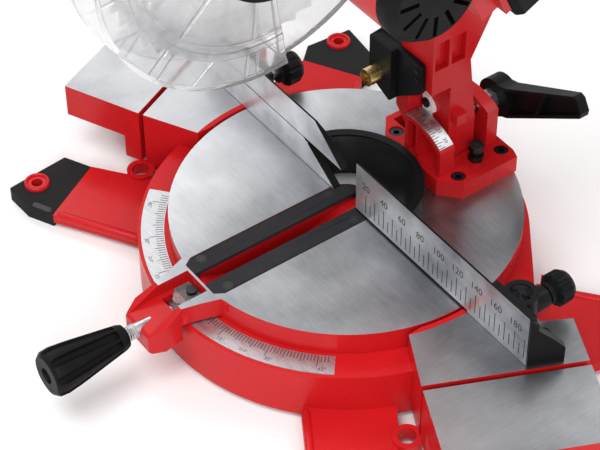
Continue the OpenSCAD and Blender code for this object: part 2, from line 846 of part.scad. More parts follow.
module bevel_lever() {
    color(black) at_lever() difference() {
        union() {
            rod_y(lever_face + 0.2, lever_y1, 0, 0, lever_hub_r);
            intersection() {
                prism_y(lever_face, lever_y1 - 0.2, lever_outline);
                prism_z(-lever_len, lever_len, [[-lever_hub_r, lever_face - 1],
                    [lever_len + 1, lever_face - 1], [lever_len + 1, lever_face + lever_tip_t],
                    [0, lever_y1], [-lever_hub_r, lever_y1]]);
            }
        }
        lever_pockets();
        rod_y(lever_face - 1, lever_y1 - 3.5, 0, 0, stud_r + run);
    }
}

laser_x = -29;
laser_h = 78;
module laser_housing() {
    color(black) prism_z(table_h + 70, table_h + 105, [[-arm_half, 81], [-36, 81], [-40, 77], [-40, 53],
        [-36, 49], [-arm_half, 49]]);
}

module laser_tube() {
    color(brass) difference() {
        rod_y(38, 49, laser_x, table_h + laser_h, 6.5);
        rod_y(37, 42, laser_x, table_h + laser_h, 3.5);
    }
}

spring_turns = 4;
spring_pitch = 4.4;
spring_r = 12.5;
spring_x = -arm_half - gap - spring_wire_r;
pin_left = spring_x - spring_turns * spring_pitch - spring_wire_r - 0.8;

module chop_pin() {
    color(steel) {
        rod_x(pin_left, arm_half + eps, pivot_y, pivot_z, chop_pin_r);
        rod_x(pin_left - 2.5, pin_left + eps, pivot_y, pivot_z, spring_r + 2);
        rod_x(arm_half, arm_half + 4, pivot_y, pivot_z, chop_pin_r + 3);
    }
}

// Return spring: one tube wound round the chop pin, with its least gap to itself printed
curl_rings = 8;
tube_sides = 6;
spring_rings = spring_turns * curl_rings + 1;
function spring_centre(i) = let (a = 360 * i / curl_rings)
    [spring_x - spring_pitch * i / curl_rings, pivot_y + spring_r * cos(a), pivot_z + spring_r * sin(a)];
function spring_point(i, k) = let (a = 360 * i / curl_rings, b = 360 * k / tube_sides)
    spring_centre(i) + spring_wire_r * [sin(b), cos(b) * cos(a), cos(b) * sin(a)];
spring_gap = min([for (i = [0 : spring_rings - 1], j = [i + curl_rings - 2 : 1 : spring_rings - 1])
    norm(spring_centre(i) - spring_centre(j))]) - 2 * spring_wire_r;
echo(return_spring_gap = spring_gap);

module return_spring() {
    points = [for (i = [0 : spring_rings - 1], k = [0 : tube_sides - 1]) spring_point(i, k)];
    sides = [for (i = [0 : spring_rings - 2], k = [0 : tube_sides - 1], half = [0, 1])
        let (a = i * tube_sides + k, b = i * tube_sides + (k + 1) % tube_sides)
            half == 0 ? [a, b, b + tube_sides] : [a, b + tube_sides, a + tube_sides]];
    last = (spring_rings - 1) * tube_sides;
    ends = [for (k = [1 : tube_sides - 2], far = [0, 1])
        far == 0 ? [0, k + 1, k] : [last, last + k, last + k + 1]];
    color(steel) polyhedron(points, concat(sides, ends));
}

module head_lock_pin() {
    color(black) {
        rod_x(ear_in + 0.5, arm_half + 2, head_lock_at[0], head_lock_at[1], head_lock_r);
        rod_x(arm_half + 0.4, arm_half + 13, head_lock_at[0], head_lock_at[1], 8);
    }
}

// Head, drawn lowered and turned up about the chop pin
module in_head() {
    translate([0, pivot_y, pivot_z]) rotate([-chop, 0, 0]) translate([0, -pivot_y, -pivot_z]) children();
}

module at_blade() {
    in_head() translate([0, blade_y, blade_z]) children();
}

// Flat piece between two X planes, its outline given in (y, z)
module plate_x(x0, x1) {
    translate([x0, 0, 0]) rotate([90, 0, 90]) linear_extrude(x1 - x0) children();
}

module rounded(at, size, r) {
    translate(at) {
        square([size[0] - 2 * r, size[1]], center = true);
        square([size[0], size[1] - 2 * r], center = true);
        for (x = [-1, 1], y = [-1, 1])
            translate([x * (size[0] / 2 - r), y * (size[1] / 2 - r)]) circle(r);
    }
}

shell_half = 14;
shell_wall = 3;
shell_r = blade_r + 8;
boss_r = 27;
boss_hole_r = 23;
retainer_t = 1;
boss_end = shell_half + 3.7;
guard_in = shell_half + 0.6;
guard_out = boss_end - gap;
guard_r = shell_r + 5;
guard_rim = 3.2;
disc_r = 36;
shell_from = 112;
shell_to = 285;
shield_from = 70;
guard_from = -80;
guard_to = 72;

// Section of a hollow ring: its inner radius, outer radius, half width, side wall and rim
function u_section(r0, r1, half, wall, rim) = [
    [r0, -half], [r1, -half], [r1, half], [r0, half],
    [r0, half - wall], [r1 - rim, half - wall], [r1 - rim, wall - half], [r0, wall - half]
];

module head_arm() {
    reach = norm([pivot_y - blade_y, pivot_z - blade_z]);
    lean = atan2(pivot_z - blade_z, pivot_y - blade_y);
    translate([0, blade_y, blade_z]) rotate([lean, 0, 0])
        prism_x(1 - knuckle_half, knuckle_half - 1,
                [[shell_r - 1.5, -17], [reach, -15], [reach, 15], [shell_r - 1.5, 17]]);
    rod_x(-knuckle_half, knuckle_half, pivot_y, pivot_z, 17);
}

module head_casting() {
    color(red) difference() {
        union() {
            at_blade() {
                turn_x(u_section(disc_r - 4, shell_r, shell_half, shell_wall, shell_wall),
                       shell_from, shell_to);
                for (s = [-1, 1]) {
                    outer = shell_half + 0.2;
                    inner = shell_half - shell_wall - 0.2;
                    rod_x(s > 0 ? inner : -outer, s > 0 ? outer : -inner, 0, 0, disc_r);
                    rod_x(s > 0 ? inner + 1 : -boss_end, s > 0 ? boss_end : -inner - 1, 0, 0, boss_r - run);
                }
            }
            in_head() head_arm();
        }
        at_blade() {
            rod_x(-boss_end - 1, -5, 0, 0, boss_hole_r);
            rod_x(5, boss_end + 1, 0, 0, 12);
        }
        in_head() rod_x(-knuckle_half - 1, knuckle_half + 1, pivot_y, pivot_z, chop_pin_r + run);
    }
}

module rear_shield() {
    color(clear) at_blade()
        turn_x(u_section(disc_r + gap, shell_r, shell_half, shell_wall, shell_wall),
               shield_from, shell_from - 0.3);
}

module lower_guard() {
    wall = guard_out - guard_in;
    color(clear) at_blade() difference() {
        union() {
            turn_x(u_section(boss_r + 3, guard_r, guard_out, wall, guard_rim), guard_from, guard_to);
            for (x = [guard_in, -guard_out])
                rod_x(x + 0.2, x + wall - 0.2, 0, 0, boss_r + 5.5);
        }
        rod_x(-guard_out - 1, guard_out + 1, 0, 0, boss_r + run);
    }
}

module guard_retainer() {
    color(black) at_blade() difference() {
        rod_x(-boss_end - retainer_t, -boss_end, 0, 0, boss_r + 3.8);
        rod_x(-boss_end - retainer_t - 1, -boss_end + 1, 0, 0, boss_hole_r);
    }
}

// Blade, its flanges and the arbor
spindle_r = 10;
arbor_r = 15;
flange_r = 22;
bolt_shank_r = 5;
flange_x = blade_t / 2;
tooth_h = 5;
tooth_step = 360 / blade_teeth;
slot_root = blade_r - 22;
slot_cut = 1.2;
slot_eye_r = 2.4;

function tooth(i) = let (a = i * tooth_step)
    [[blade_r, a], [blade_r - tooth_h, a + tooth_step * 0.12],
     [blade_r - tooth_h * 0.8, a + tooth_step * 0.5], [blade_r - 1, a + tooth_step * 0.85]];

module saw_blade() {
    outline = [for (i = [0 : blade_teeth - 1], p = tooth(i)) p[0] * [cos(p[1]), sin(p[1])]];
    color(steel) at_blade() difference() {
        prism_x(-blade_t / 2, blade_t / 2, outline);
        rod_x(-blade_t, blade_t, 0, 0, arbor_r);
        for (a = [tooth_step * 0.3 : 90 : 359]) rotate([a, 0, 0]) {
            slab(-blade_t, blade_t, slot_root, blade_r + 1, -slot_cut / 2, slot_cut / 2);
            rod_x(-blade_t, blade_t, slot_root, 0, slot_eye_r);
        }
    }
}

module blade_flanges() {
    color(steel) at_blade() {
        difference() {
            union() {
                rod_x(flange_x, 6, 0, 0, flange_r);
                rod_x(fit - flange_x, flange_x + eps, 0, 0, arbor_r - fit);
            }
            rod_x(-6, 7, 0, 0, spindle_r + fit);
        }
        difference() {
            rod_x(-5, -flange_x, 0, 0, flange_r);
            rod_x(-6, 0, 0, 0, bolt_shank_r + fit);
        }
    }
}

module spindle() {
    color(steel) at_blade() difference() {
        rod_x(-flange_x, 30, 0, 0, spindle_r);
        rod_x(-6, 18, 0, 0, bolt_shank_r + fit);
    }
}

module arbor_bolt() {
    color(black) at_blade() {
        rod_x(-5 - eps, 16, 0, 0, bolt_shank_r);
        translate([-10.5, 0, 0]) rotate([0, 90, 0]) cylinder(h = 5.5, r = 8, $fn = 6);
    }
}

// Gear case, motor and handle
case_x1 = 34;
case_r = 46;
motor_at = [-40, table_h + 119];
motor_x1 = 118;
handle_mid = [-95, table_h + 208];
handle_size = [130, 84];
grip_hole = [84, 40];
grip_mid = handle_mid + [-2, 2];
handle_z0 = handle_mid[1] - handle_size[1] / 2;
handle_x0 = 19;
handle_x1 = 49;
spindle_lock_at = [-92, blade_z + 4];
button_r = 6;

module gear_case() {
    color(black) in_head() difference() {
        union() {
            rod_x(boss_end, case_x1, blade_y, blade_z, case_r);
            rod_x(boss_end, case_x1, motor_at[0], motor_at[1], motor_r + 4);
            prism_x(boss_end, case_x1, [[blade_y - 44, blade_z], [-20, blade_z], [-20, handle_z0 - 30],
                                        [-52, handle_z0], [blade_y - 44, handle_z0]]);
        }
        rod_x(boss_end - 1, 31, blade_y, blade_z, spindle_r + run);
        rod_x(case_x1 - 10, case_x1 + 1, spindle_lock_at[0], spindle_lock_at[1], button_r + gap);
    }
}

module spindle_lock() {
    color(black) in_head()
        rod_x(case_x1 - 5, case_x1 + 6, spindle_lock_at[0], spindle_lock_at[1], button_r);
}

rail_xs = [66, 115];
rail_w = 4;
mount_top = table_h + 157.7;
rail_top = mount_top + 5.5;
mount_y0 = -68;
mount_y1 = 28;

module motor_housing() {
    color(red) in_head() difference() {
        union() {
            rod_x(case_x1, motor_x1, motor_at[0], motor_at[1], motor_r);
            slab(60.5, motor_x1 - 1, mount_y0 + 0.5, mount_y1 - 0.5, motor_at[1] + motor_r - 12, mount_top - 1);
            slab(60, 125, mount_y0, mount_y1, motor_at[1] + motor_r + gap, mount_top);
            for (x = rail_xs)
                slab(x, x + rail_w, mount_y0, mount_y1, mount_top - eps, rail_top);
        }
        for (x = [44 : 5 : 54])
            translate([x, motor_at[0], motor_at[1]]) rotate([0, 90, 0]) difference() {
                cylinder(h = 2, r = motor_r + 1);
                translate([0, 0, -1]) cylinder(h = 4, r = motor_r - 1.5);
            }
    }
}

module motor_end_cap() {
    color(black) in_head() translate([motor_x1, motor_at[0], motor_at[1]]) rotate([0, 90, 0]) difference() {
        rotate_extrude() polygon([[0, 0], [motor_r, 0], [motor_r, 8], [motor_r - 5, 15], [0, 15]]);
        for (a = [0 : 30 : 359])
            rotate([0, 0, a]) translate([14, -1.5, 8]) cube([14, 3, 10]);
    }
}

trigger_pin = [-89, table_h + 233];
trigger_x = [28, 40];
lock_off_at = [-75, table_h + 239];
handle_screw_at = [[-150, handle_mid[1] - 20], [-150, handle_mid[1] + 22], [-41, handle_mid[1] + 22],
                   [-41, handle_mid[1] - 22]];
handle_split = (handle_x0 + handle_x1) / 2;

module handle_shell(x0, x1) {
    in_head() difference() {
        plate_x(x0, x1) difference() {
            rounded(handle_mid, handle_size, 24);
            rounded(grip_mid, grip_hole, 18);
        }
        slab(trigger_x[0] - 0.5, trigger_x[1] + 0.5, -125, -84, grip_mid[1], trigger_pin[1] + 8);
        rod_x(24.5, 43.5, trigger_pin[0], trigger_pin[1], 2 + run);
        rod_x(41.5, handle_x1 + 1, lock_off_at[0], lock_off_at[1], button_r + gap);
        for (p = handle_screw_at) {
            rod_x(24.8, handle_x1, p[0], p[1], 1.5 + fit);
            rod_x(handle_x1 - 2, handle_x1 + 1, p[0], p[1], 3 + fit);
        }
    }
}

module handle_left_shell() {
    color(black) handle_shell(handle_x0, handle_split);
}

module handle_right_shell() {
    color(black) handle_shell(handle_split, handle_x1);
}

module handle_screws() {
    color(steel) in_head() for (p = handle_screw_at) {
        rod_x(25, handle_x1 - 2 + eps, p[0], p[1], 1.5);
        rod_x(handle_x1 - 2, handle_x1 - 0.3, p[0], p[1], 3);
    }
}

module trigger() {
    color(black) in_head() {
        translate([0, 0, trigger_pin[1]]) prism_x(trigger_x[0], trigger_x[1],
            [[-124, 2], [-124, -8], [-118, -12], [-100, -10], [-86, -4], [-86, 2]]);
        rod_x(25, 43, trigger_pin[0], trigger_pin[1], 2);
    }
}

module lock_off_button() {
    color(red) in_head() rod_x(45, handle_x1 + 3, lock_off_at[0], lock_off_at[1], button_r);
}

// Battery on two rails, with its latch
battery_y0 = -75;
battery_z0 = mount_top + gap;
battery_z1 = battery_z0 + 57;

module battery_pack() {
    y1 = battery_y0 + battery_len;
    color(black) in_head() difference() {
        prism_y(battery_y0, y1, [[55, battery_z0 + 4], [59, battery_z0], [126, battery_z0],
            [130, battery_z0 + 4], [130, battery_z1 - 9], [121, battery_z1], [64, battery_z1],
            [55, battery_z1 - 9]]);
        for (x = rail_xs)
            slab(x - gap, x + rail_w + gap, battery_y0 - 1, y1 + 1, battery_z0 - 1, rail_top + gap);
        slab(79.5, 105.5, battery_y0 - 1, battery_y0 + 5.5, battery_z0 + 14, battery_z0 + 30);
    }
}

module battery_latch() {
    color(red) in_head()
        slab(80, 105, battery_y0 - 2.5, battery_y0 + 2, battery_z0 + 14.5, battery_z0 + 29.5);
}

// Dust spout on the left of the shell; with the head raised it points back
spout_at = [-30.5, 14, blade_z + 50];
spout_rise = 72;
spout_len = 52;
spout_r = 16;
spout_bore_r = 13;

module at_spout() {
    in_head() translate(spout_at) rotate([spout_rise, 0, 0]) children();
}

module dust_spout() {
    color(black) difference() {
        union() {
            at_spout() rod_y(0, spout_len, 0, 0, spout_r);
            in_head() slab(spout_at[0], -shell_half, spout_at[1] - 12, spout_at[1] + 14,
                           spout_at[2] - 12, spout_at[2] + 10);
        }
        at_spout() rod_y(12, spout_len + 1, 0, 0, spout_bore_r);
    }
}

base_casting();
foot_pads();
mitre_scales();
fence_casting();
fence_bolts();
turntable();
pivot_bolt();
kerf_inserts();
insert_screws();
mitre_pointer();
pointer_screw();
bevel_bracket();
bracket_bolts();
bevel_pin();
bevel_scale();
stop_bolt();
mitre_handle();
lock_rod();
sliding_fence();
fence_knob();
fence_knob_stud();
clamp_knob();
clamp_knob_stud();
left_extension();
left_extension_rods();
right_extension();
right_extension_rods();
tilt_arm();
bevel_pointer();
bevel_stud();
bevel_lever();
laser_housing();
laser_tube();
chop_pin();
return_spring();
head_lock_pin();
head_casting();
rear_shield();
gear_case();
motor_housing();
motor_end_cap();
handle_left_shell();
handle_right_shell();
handle_screws();
dust_spout();
guard_retainer();
saw_blade();
blade_flanges();
spindle();
arbor_bolt();
lower_guard();
trigger();
lock_off_button();
spindle_lock();
battery_pack();
battery_latch();
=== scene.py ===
"""Cordless mitre saw: camera, light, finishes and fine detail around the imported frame."""
import json
import math

import bmesh
import bpy
from mathutils import Matrix, Vector


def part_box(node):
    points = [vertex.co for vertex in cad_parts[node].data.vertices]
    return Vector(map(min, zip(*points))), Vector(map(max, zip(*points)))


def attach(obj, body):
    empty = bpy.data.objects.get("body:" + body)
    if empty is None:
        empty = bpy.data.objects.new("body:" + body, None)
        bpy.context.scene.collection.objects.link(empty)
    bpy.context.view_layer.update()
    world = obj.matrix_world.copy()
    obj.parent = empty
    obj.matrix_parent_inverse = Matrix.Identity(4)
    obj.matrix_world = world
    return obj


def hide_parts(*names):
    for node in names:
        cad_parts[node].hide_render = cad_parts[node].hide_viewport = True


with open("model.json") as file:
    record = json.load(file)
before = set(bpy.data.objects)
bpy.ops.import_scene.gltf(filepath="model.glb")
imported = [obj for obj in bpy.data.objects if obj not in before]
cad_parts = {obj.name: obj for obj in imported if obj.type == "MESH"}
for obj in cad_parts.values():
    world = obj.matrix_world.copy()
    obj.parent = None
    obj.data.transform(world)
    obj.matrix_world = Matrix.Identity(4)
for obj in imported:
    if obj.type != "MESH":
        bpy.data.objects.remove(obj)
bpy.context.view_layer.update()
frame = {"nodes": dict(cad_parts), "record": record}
NODES = frame["nodes"]
MM = 0.001

# Places read from the frame
TABLE_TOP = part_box("kerf_inserts")[1].z
RING_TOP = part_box("mitre_scales")[0].z
FENCE_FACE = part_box("fence_casting")[0].y
WING_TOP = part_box("left_extension")[1].z
LIP_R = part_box("turntable")[1].x + 6.5 * MM
# Height of the black band painted at the fence's foot as the shadow of the gap under it.
FENCE_GAP_SHADOW = 2.1 * MM


# Node graphs of the materials
class Graph:
    """A material's node tree, with short calls that make and join its nodes."""

    def __init__(self, name):
        self.material = bpy.data.materials.new(name)
        self.material.use_nodes = True
        self.nodes = self.material.node_tree.nodes
        self.links = self.material.node_tree.links
        self.shader = self.nodes["Principled BSDF"]
        self.place = self.node("ShaderNodeTexCoord").outputs["Object"]

    def node(self, kind, **settings):
        made = self.nodes.new(kind)
        for key, value in settings.items():
            setattr(made, key, value)
        return made

    def put(self, socket, value):
        if isinstance(value, bpy.types.NodeSocket):
            self.links.new(value, socket)
        else:
            socket.default_value = value

    def set(self, **values):
        """Sets or links the shader's own sockets; an underscore stands for a space."""
        for key, value in values.items():
            self.put(self.shader.inputs[key.replace("_", " ")], value)

    def math(self, operation, a, b=0.0, c=0.0):
        made = self.node("ShaderNodeMath", operation=operation)
        for socket, value in zip(made.inputs, (a, b, c)):
            self.put(socket, value)
        return made.outputs[0]

    def noise(self, scale, detail=3.0, stretch=(1, 1, 1), rough=0.55, shift=(0, 0, 0)):
        mapping = self.node("ShaderNodeMapping")
        mapping.inputs["Scale"].default_value = stretch
        mapping.inputs["Location"].default_value = shift
        self.put(mapping.inputs["Vector"], self.place)
        made = self.node("ShaderNodeTexNoise")
        self.put(made.inputs["Vector"], mapping.outputs[0])
        made.inputs["Scale"].default_value = scale
        made.inputs["Detail"].default_value = detail
        made.inputs["Roughness"].default_value = rough
        return made.outputs["Fac"]

    def spread(self, value, low, high, source=(0.3, 0.7)):
        made = self.node("ShaderNodeMapRange")
        for socket, number in zip(made.inputs, (value, source[0], source[1], low, high)):
            self.put(socket, number)
        return made.outputs[0]

    def mix(self, factor, a, b):
        made = self.node("ShaderNodeMix", data_type="RGBA")
        for name, value in (("Factor_Float", factor), ("A_Color", a), ("B_Color", b)):
            socket = next(s for s in made.inputs if s.identifier == name)
            self.put(socket, value)
        return next(s for s in made.outputs if s.identifier == "Result_Color")

    def blend(self, factor, a, b):
        made = self.node("ShaderNodeMix", data_type="FLOAT")
        for name, value in (("Factor_Float", factor), ("A_Float", a), ("B_Float", b)):
            socket = next(s for s in made.inputs if s.identifier == name)
            self.put(socket, value)
        return next(s for s in made.outputs if s.identifier == "Result_Float")

    def bump(self, height, strength, distance=0.0005):
        made = self.node("ShaderNodeBump")
        made.inputs["Strength"].default_value = strength
        made.inputs["Distance"].default_value = distance
        self.put(made.inputs["Height"], height)
        self.put(self.shader.inputs["Normal"], made.outputs[0])

    def axis(self, source, letter):
        made = self.node("ShaderNodeSeparateXYZ")
        self.put(made.inputs[0], source)
        return made.outputs[letter]

    def radius(self):
        """Distance from the upright axis through the origin."""
        x, y = (self.axis(self.place, letter) for letter in "XY")
        return self.math("SQRT", self.math("ADD", self.math("POWER", x, 2.0), self.math("POWER", y, 2.0)))

    def top_mask(self, height):
        """1 on flat faces that look up from this height, 0 elsewhere."""
        facing = self.axis(self.node("ShaderNodeNewGeometry").outputs["Normal"], "Z")
        high = self.math("GREATER_THAN", self.axis(self.place, "Z"), height - 0.15 * MM)
        return self.math("MULTIPLY", high, self.math("GREATER_THAN", facing, 0.9))

    def front_mask(self, face):
        """1 on faces that look to the front from this depth, 0 elsewhere."""
        facing = self.axis(self.node("ShaderNodeNewGeometry").outputs["Normal"], "Y")
        near = self.math("LESS_THAN", self.axis(self.place, "Y"), face + 0.15 * MM)
        return self.math("MULTIPLY", near, self.math("LESS_THAN", facing, -0.9))


def rgb(r, g, b):
    return (r, g, b, 1.0)


RED = rgb(0.57, 0.012, 0.015)
RED_DEEP = rgb(0.48, 0.008, 0.011)
SILVER = rgb(0.66, 0.67, 0.69)
SILVER_DARK = rgb(0.17, 0.175, 0.19)
BLACK = rgb(0.006, 0.006, 0.0065)

# Patterns of the milled faces: waves per metre, shares of each, and the brightness of wings and fences. The
# broad wave paints sheen and shade across the table and wings.
CLOUD_WAVES, PAINTED_SHEEN_WAVES, STREAK_WAVES = 14.0, 3.0, 60.0
PAINTED_SHEEN_SHARE, STREAK_SHARE = 0.6, 0.09
PAINTED_SHEEN_SHIFT = (0.5, 0.2, 0.9)
# Painted light and shade: the fences' silver is made lighter and the wings' silver darker than the table's,
# as lit and shaded copies of one milled finish.
WING_PAINTED_SHADE, FENCE_PAINTED_LIGHT = 0.85, 1.45
FENCE_METALLIC = 0.7


def machined(g, stretch, light=1.0, sheen_share=PAINTED_SHEEN_SHARE):
    """Colour, roughness and relief of a milled face: cloudy, with fine streaks along one way, a broad wave of
    painted sheen and shade, and its silver scaled by light, which paints the fences lighter and the wings
    darker.
    """
    dark, bright = (rgb(*[c * light for c in colour[:3]]) for colour in (SILVER_DARK, SILVER))
    cloud = g.noise(CLOUD_WAVES, 5.0)
    # Broad wave placed so that it paints a sheen on one side of the table and shade on the other.
    painted_sheen = g.noise(PAINTED_SHEEN_WAVES, 1.0, shift=PAINTED_SHEEN_SHIFT)
    streak = g.noise(STREAK_WAVES, 3.0, stretch)
    fine = g.spread(cloud, 0.0, 1.0, (0.34, 0.66))
    broad_sheen = g.spread(painted_sheen, 0.0, 1.0, (0.42, 0.58))
    mottle_and_sheen = g.blend(sheen_share, fine, broad_sheen)
    shade = g.blend(STREAK_SHARE, mottle_and_sheen, g.spread(streak, 0.0, 1.0))
    return g.mix(shade, dark, bright), g.spread(cloud, 0.27, 0.38), g.math("MULTIPLY", streak, 0.15)


def red_paint(name, top=None, stretch=(1, 12, 1), lip=0.0):
    """Glossy red enamel; faces at the height given by top are milled bare outside the radius of the lip."""
    g = Graph(name)
    red = g.mix(g.spread(g.noise(9.0), 0.0, 1.0), RED_DEEP, RED)
    rough = g.spread(g.noise(40.0), 0.24, 0.36)
    peel = g.noise(700.0, 2.0)
    g.set(Coat_Weight=0.05, Coat_Roughness=0.12, Specular_IOR_Level=0.16)
    if top is None:
        g.set(Base_Color=red, Roughness=rough)
        g.bump(peel, 0.06)
    else:
        mask = g.top_mask(top)
        if lip:
            mask = g.math("MULTIPLY", mask, g.math("GREATER_THAN", g.radius(), lip))
        # On the wings the silver is darkened as painted shade.
        silver, dull, streak = machined(g, stretch, WING_PAINTED_SHADE if lip else 1.0)
        g.set(Base_Color=g.mix(mask, red, silver), Metallic=mask, Roughness=g.blend(mask, rough, dull))
        g.bump(g.blend(mask, peel, streak), 0.06)
    return g.material


def fence_finish(name):
    """Satin black casting with a milled front face, and a black band along its foot over the turntable:
    painted shadow of the gap under the fence.
    """
    g = Graph(name)
    # Painted shadow: below this height, on the right fence over the turntable, the face stays black for the
    # gap's shadow.
    low = g.math("LESS_THAN", g.axis(g.place, "Z"), TABLE_TOP + FENCE_GAP_SHADOW)
    near = g.math("LESS_THAN", g.radius(), LIP_R)
    right = g.math("GREATER_THAN", g.axis(g.place, "X"), 0.0)
    foot = g.math("MULTIPLY", g.math("MULTIPLY", low, near), right)
    mask = g.math("MULTIPLY", g.front_mask(FENCE_FACE), g.math("SUBTRACT", 1.0, foot))
    # The fence's silver is lightened as painted light, without the broad painted sheen.
    silver, dull, streak = machined(g, (0.6, 1, 14), FENCE_PAINTED_LIGHT, 0.0)
    grain = g.noise(500.0, 2.0)
    g.set(Specular_IOR_Level=0.12)
    g.set(Base_Color=g.mix(mask, BLACK, silver), Metallic=g.math("MULTIPLY", mask, FENCE_METALLIC),
          Roughness=g.blend(mask, g.spread(g.noise(30.0), 0.34, 0.5), dull))
    g.bump(g.blend(mask, grain, streak), 0.08)
    return g.material


def moulded(name, colour, rough, grain=600.0, strength=0.12, gloss=0.1):
    """Moulded plastic or rubber: fine grain and uneven sheen."""
    g = Graph(name)
    darker = rgb(*[c * 0.72 for c in colour[:3]])
    g.set(Base_Color=g.mix(g.spread(g.noise(25.0), 0.0, 1.0), darker, colour),
          Roughness=g.spread(g.noise(60.0), rough - 0.07, rough + 0.07), Specular_IOR_Level=gloss)
    g.bump(g.noise(grain, 2.0), strength)
    return g.material


def metal(name, colour, rough, stretch=(1, 1, 1), scale=120.0, strength=0.08):
    """Bare or plated metal with streaks along its lay."""
    g = Graph(name)
    darker = rgb(*[c * 0.75 for c in colour[:3]])
    lay = g.noise(scale, 3.0, stretch)
    g.set(Base_Color=g.mix(g.spread(lay, 0.0, 1.0), darker, colour), Metallic=1.0,
          Roughness=g.spread(lay, rough - 0.06, rough + 0.08))
    g.bump(lay, strength)
    return g.material


def clear_plastic(name):
    """Clear, faintly milky plastic with scuffs."""
    g = Graph(name)
    scuff = g.noise(90.0, 4.0, (1, 1, 6))
    g.set(Base_Color=g.mix(g.spread(scuff, 0.0, 1.0), rgb(0.93, 0.94, 0.95), rgb(0.99, 0.99, 0.99)),
          Roughness=g.spread(scuff, 0.02, 0.09, (0.4, 0.8)), Transmission_Weight=0.88, IOR=1.46)
    return g.material


def plain_print(name, colour):
    """Flat colour, a little uneven: printed ink, and the painted shade of the screws' cross slots."""
    g = Graph(name)
    lighter = rgb(*[min(1.0, c * 1.3 + 0.01) for c in colour[:3]])
    g.set(Base_Color=g.mix(g.noise(300.0), colour, lighter), Roughness=0.5)
    return g.material


FINISH = {
    "red_paint": red_paint("red_paint"),
    "table_paint": red_paint("table_paint", TABLE_TOP),
    "wing_paint": red_paint("wing_paint", WING_TOP, (10, 1, 1), LIP_R),
    "fence": fence_finish("fence"),
    "black_casting": moulded("black_casting", BLACK, 0.42, 400.0),
    "black_plastic": moulded("black_plastic", BLACK, 0.48),
    "rubber": moulded("rubber", rgb(0.018, 0.018, 0.019), 0.72, 350.0, 0.25),
    "rubber_worn": moulded("rubber_worn", rgb(0.075, 0.075, 0.078), 0.55, 350.0, 0.25),
    "insert_grey": moulded("insert_grey", rgb(0.028, 0.028, 0.031), 0.60, 800.0, 0.18),
    "red_plastic": moulded("red_plastic", RED, 0.40, gloss=0.4),
    "white_plastic": moulded("white_plastic", rgb(0.80, 0.80, 0.78), 0.35, gloss=0.5),
    "scale_silver": metal("scale_silver", rgb(0.58, 0.59, 0.61), 0.42, (1, 8, 1)),
    "zinc_steel": metal("zinc_steel", rgb(0.62, 0.63, 0.65), 0.28),
    "black_steel": metal("black_steel", rgb(0.05, 0.05, 0.052), 0.36),
    "spring_steel": metal("spring_steel", rgb(0.30, 0.30, 0.32), 0.34),
    "blade_steel": metal("blade_steel", rgb(0.88, 0.89, 0.90), 0.20, (1, 1, 1), 30.0, 0.01),
    "brass": metal("brass", rgb(0.72, 0.52, 0.20), 0.26, (1, 14, 1)),
    "clear_plastic": clear_plastic("clear_plastic"),
    "ink": plain_print("ink", rgb(0.02, 0.02, 0.02)),
    # Near-black plates that paint the shade in the screws' cross slots.
    "painted_slot_shade": plain_print("painted_slot_shade", rgb(0.004, 0.004, 0.004)),
    "red_ink": plain_print("red_ink", rgb(0.5, 0.02, 0.02)),
}

# Nodes whose finish isn't that of their slot alone, and the rounding of their edges in millimetres
SPECIAL = {"turntable": "table_paint", "base_casting": "wing_paint", "left_extension": "wing_paint",
           "right_extension": "wing_paint", "fence_casting": "fence", "sliding_fence": "fence"}
ROUNDING = {"base_casting": 1.2, "turntable": 0.8, "bevel_bracket": 1.0, "tilt_arm": 1.4, "head_casting": 1.0,
            "left_extension": 1.0, "right_extension": 1.0, "foot_pads": 1.6, "fence_casting": 0.5,
            "sliding_fence": 0.5, "bevel_lever": 2.0, "laser_housing": 0.8, "gear_case": 1.5,
            "motor_housing": 1.0, "motor_end_cap": 1.0, "handle_left_shell": 3.0, "handle_right_shell": 3.0,
            "battery_pack": 1.6, "battery_latch": 0.6, "dust_spout": 0.8, "trigger": 0.8, "mitre_handle": 0.5,
            "fence_knob": 0.5, "clamp_knob": 0.5, "lower_guard": 0.8, "rear_shield": 0.6, "kerf_inserts": 0.3}


WELD_GAP = 0.002 * MM
SHARP = math.radians(38)


def soften(node, width):
    """Rounds an object's edges and evens out its shading."""
    weld = node.modifiers.new("weld", "WELD")
    weld.merge_threshold = WELD_GAP
    if width:
        bevel = node.modifiers.new("edges", "BEVEL")
        bevel.width = width * MM
        bevel.segments = 3
        bevel.limit_method = "ANGLE"
        bevel.angle_limit = SHARP
        bevel.use_clamp_overlap = True
        bevel.harden_normals = False
        node.modifiers.new("normals", "WEIGHTED_NORMAL")
    else:
        split = node.modifiers.new("split", "EDGE_SPLIT")
        split.split_angle = SHARP
    for face in node.data.polygons:
        face.use_smooth = True


for part in frame["record"]["subparts"]:
    node_name = part["node"]
    finish = FINISH[SPECIAL.get(node_name, part["material_slot"])]
    NODES[node_name].data.materials.clear()
    NODES[node_name].data.materials.append(finish)
    soften(NODES[node_name], ROUNDING.get(node_name, 0))

# Fine detail that rides on the bodies
INK_T = 0.06 * MM
JOINTS = {joint["name"]: joint for joint in frame["record"]["behaviour"]["joints"]}
BLADE = Vector(JOINTS["guard_swing"]["pos_m"])
CHOP = math.radians(JOINTS["head_chop"]["range_deg"][1])
BODY_OF = {node: body for body, nodes in frame["record"]["behaviour"]["bodies"].items() for node in nodes}


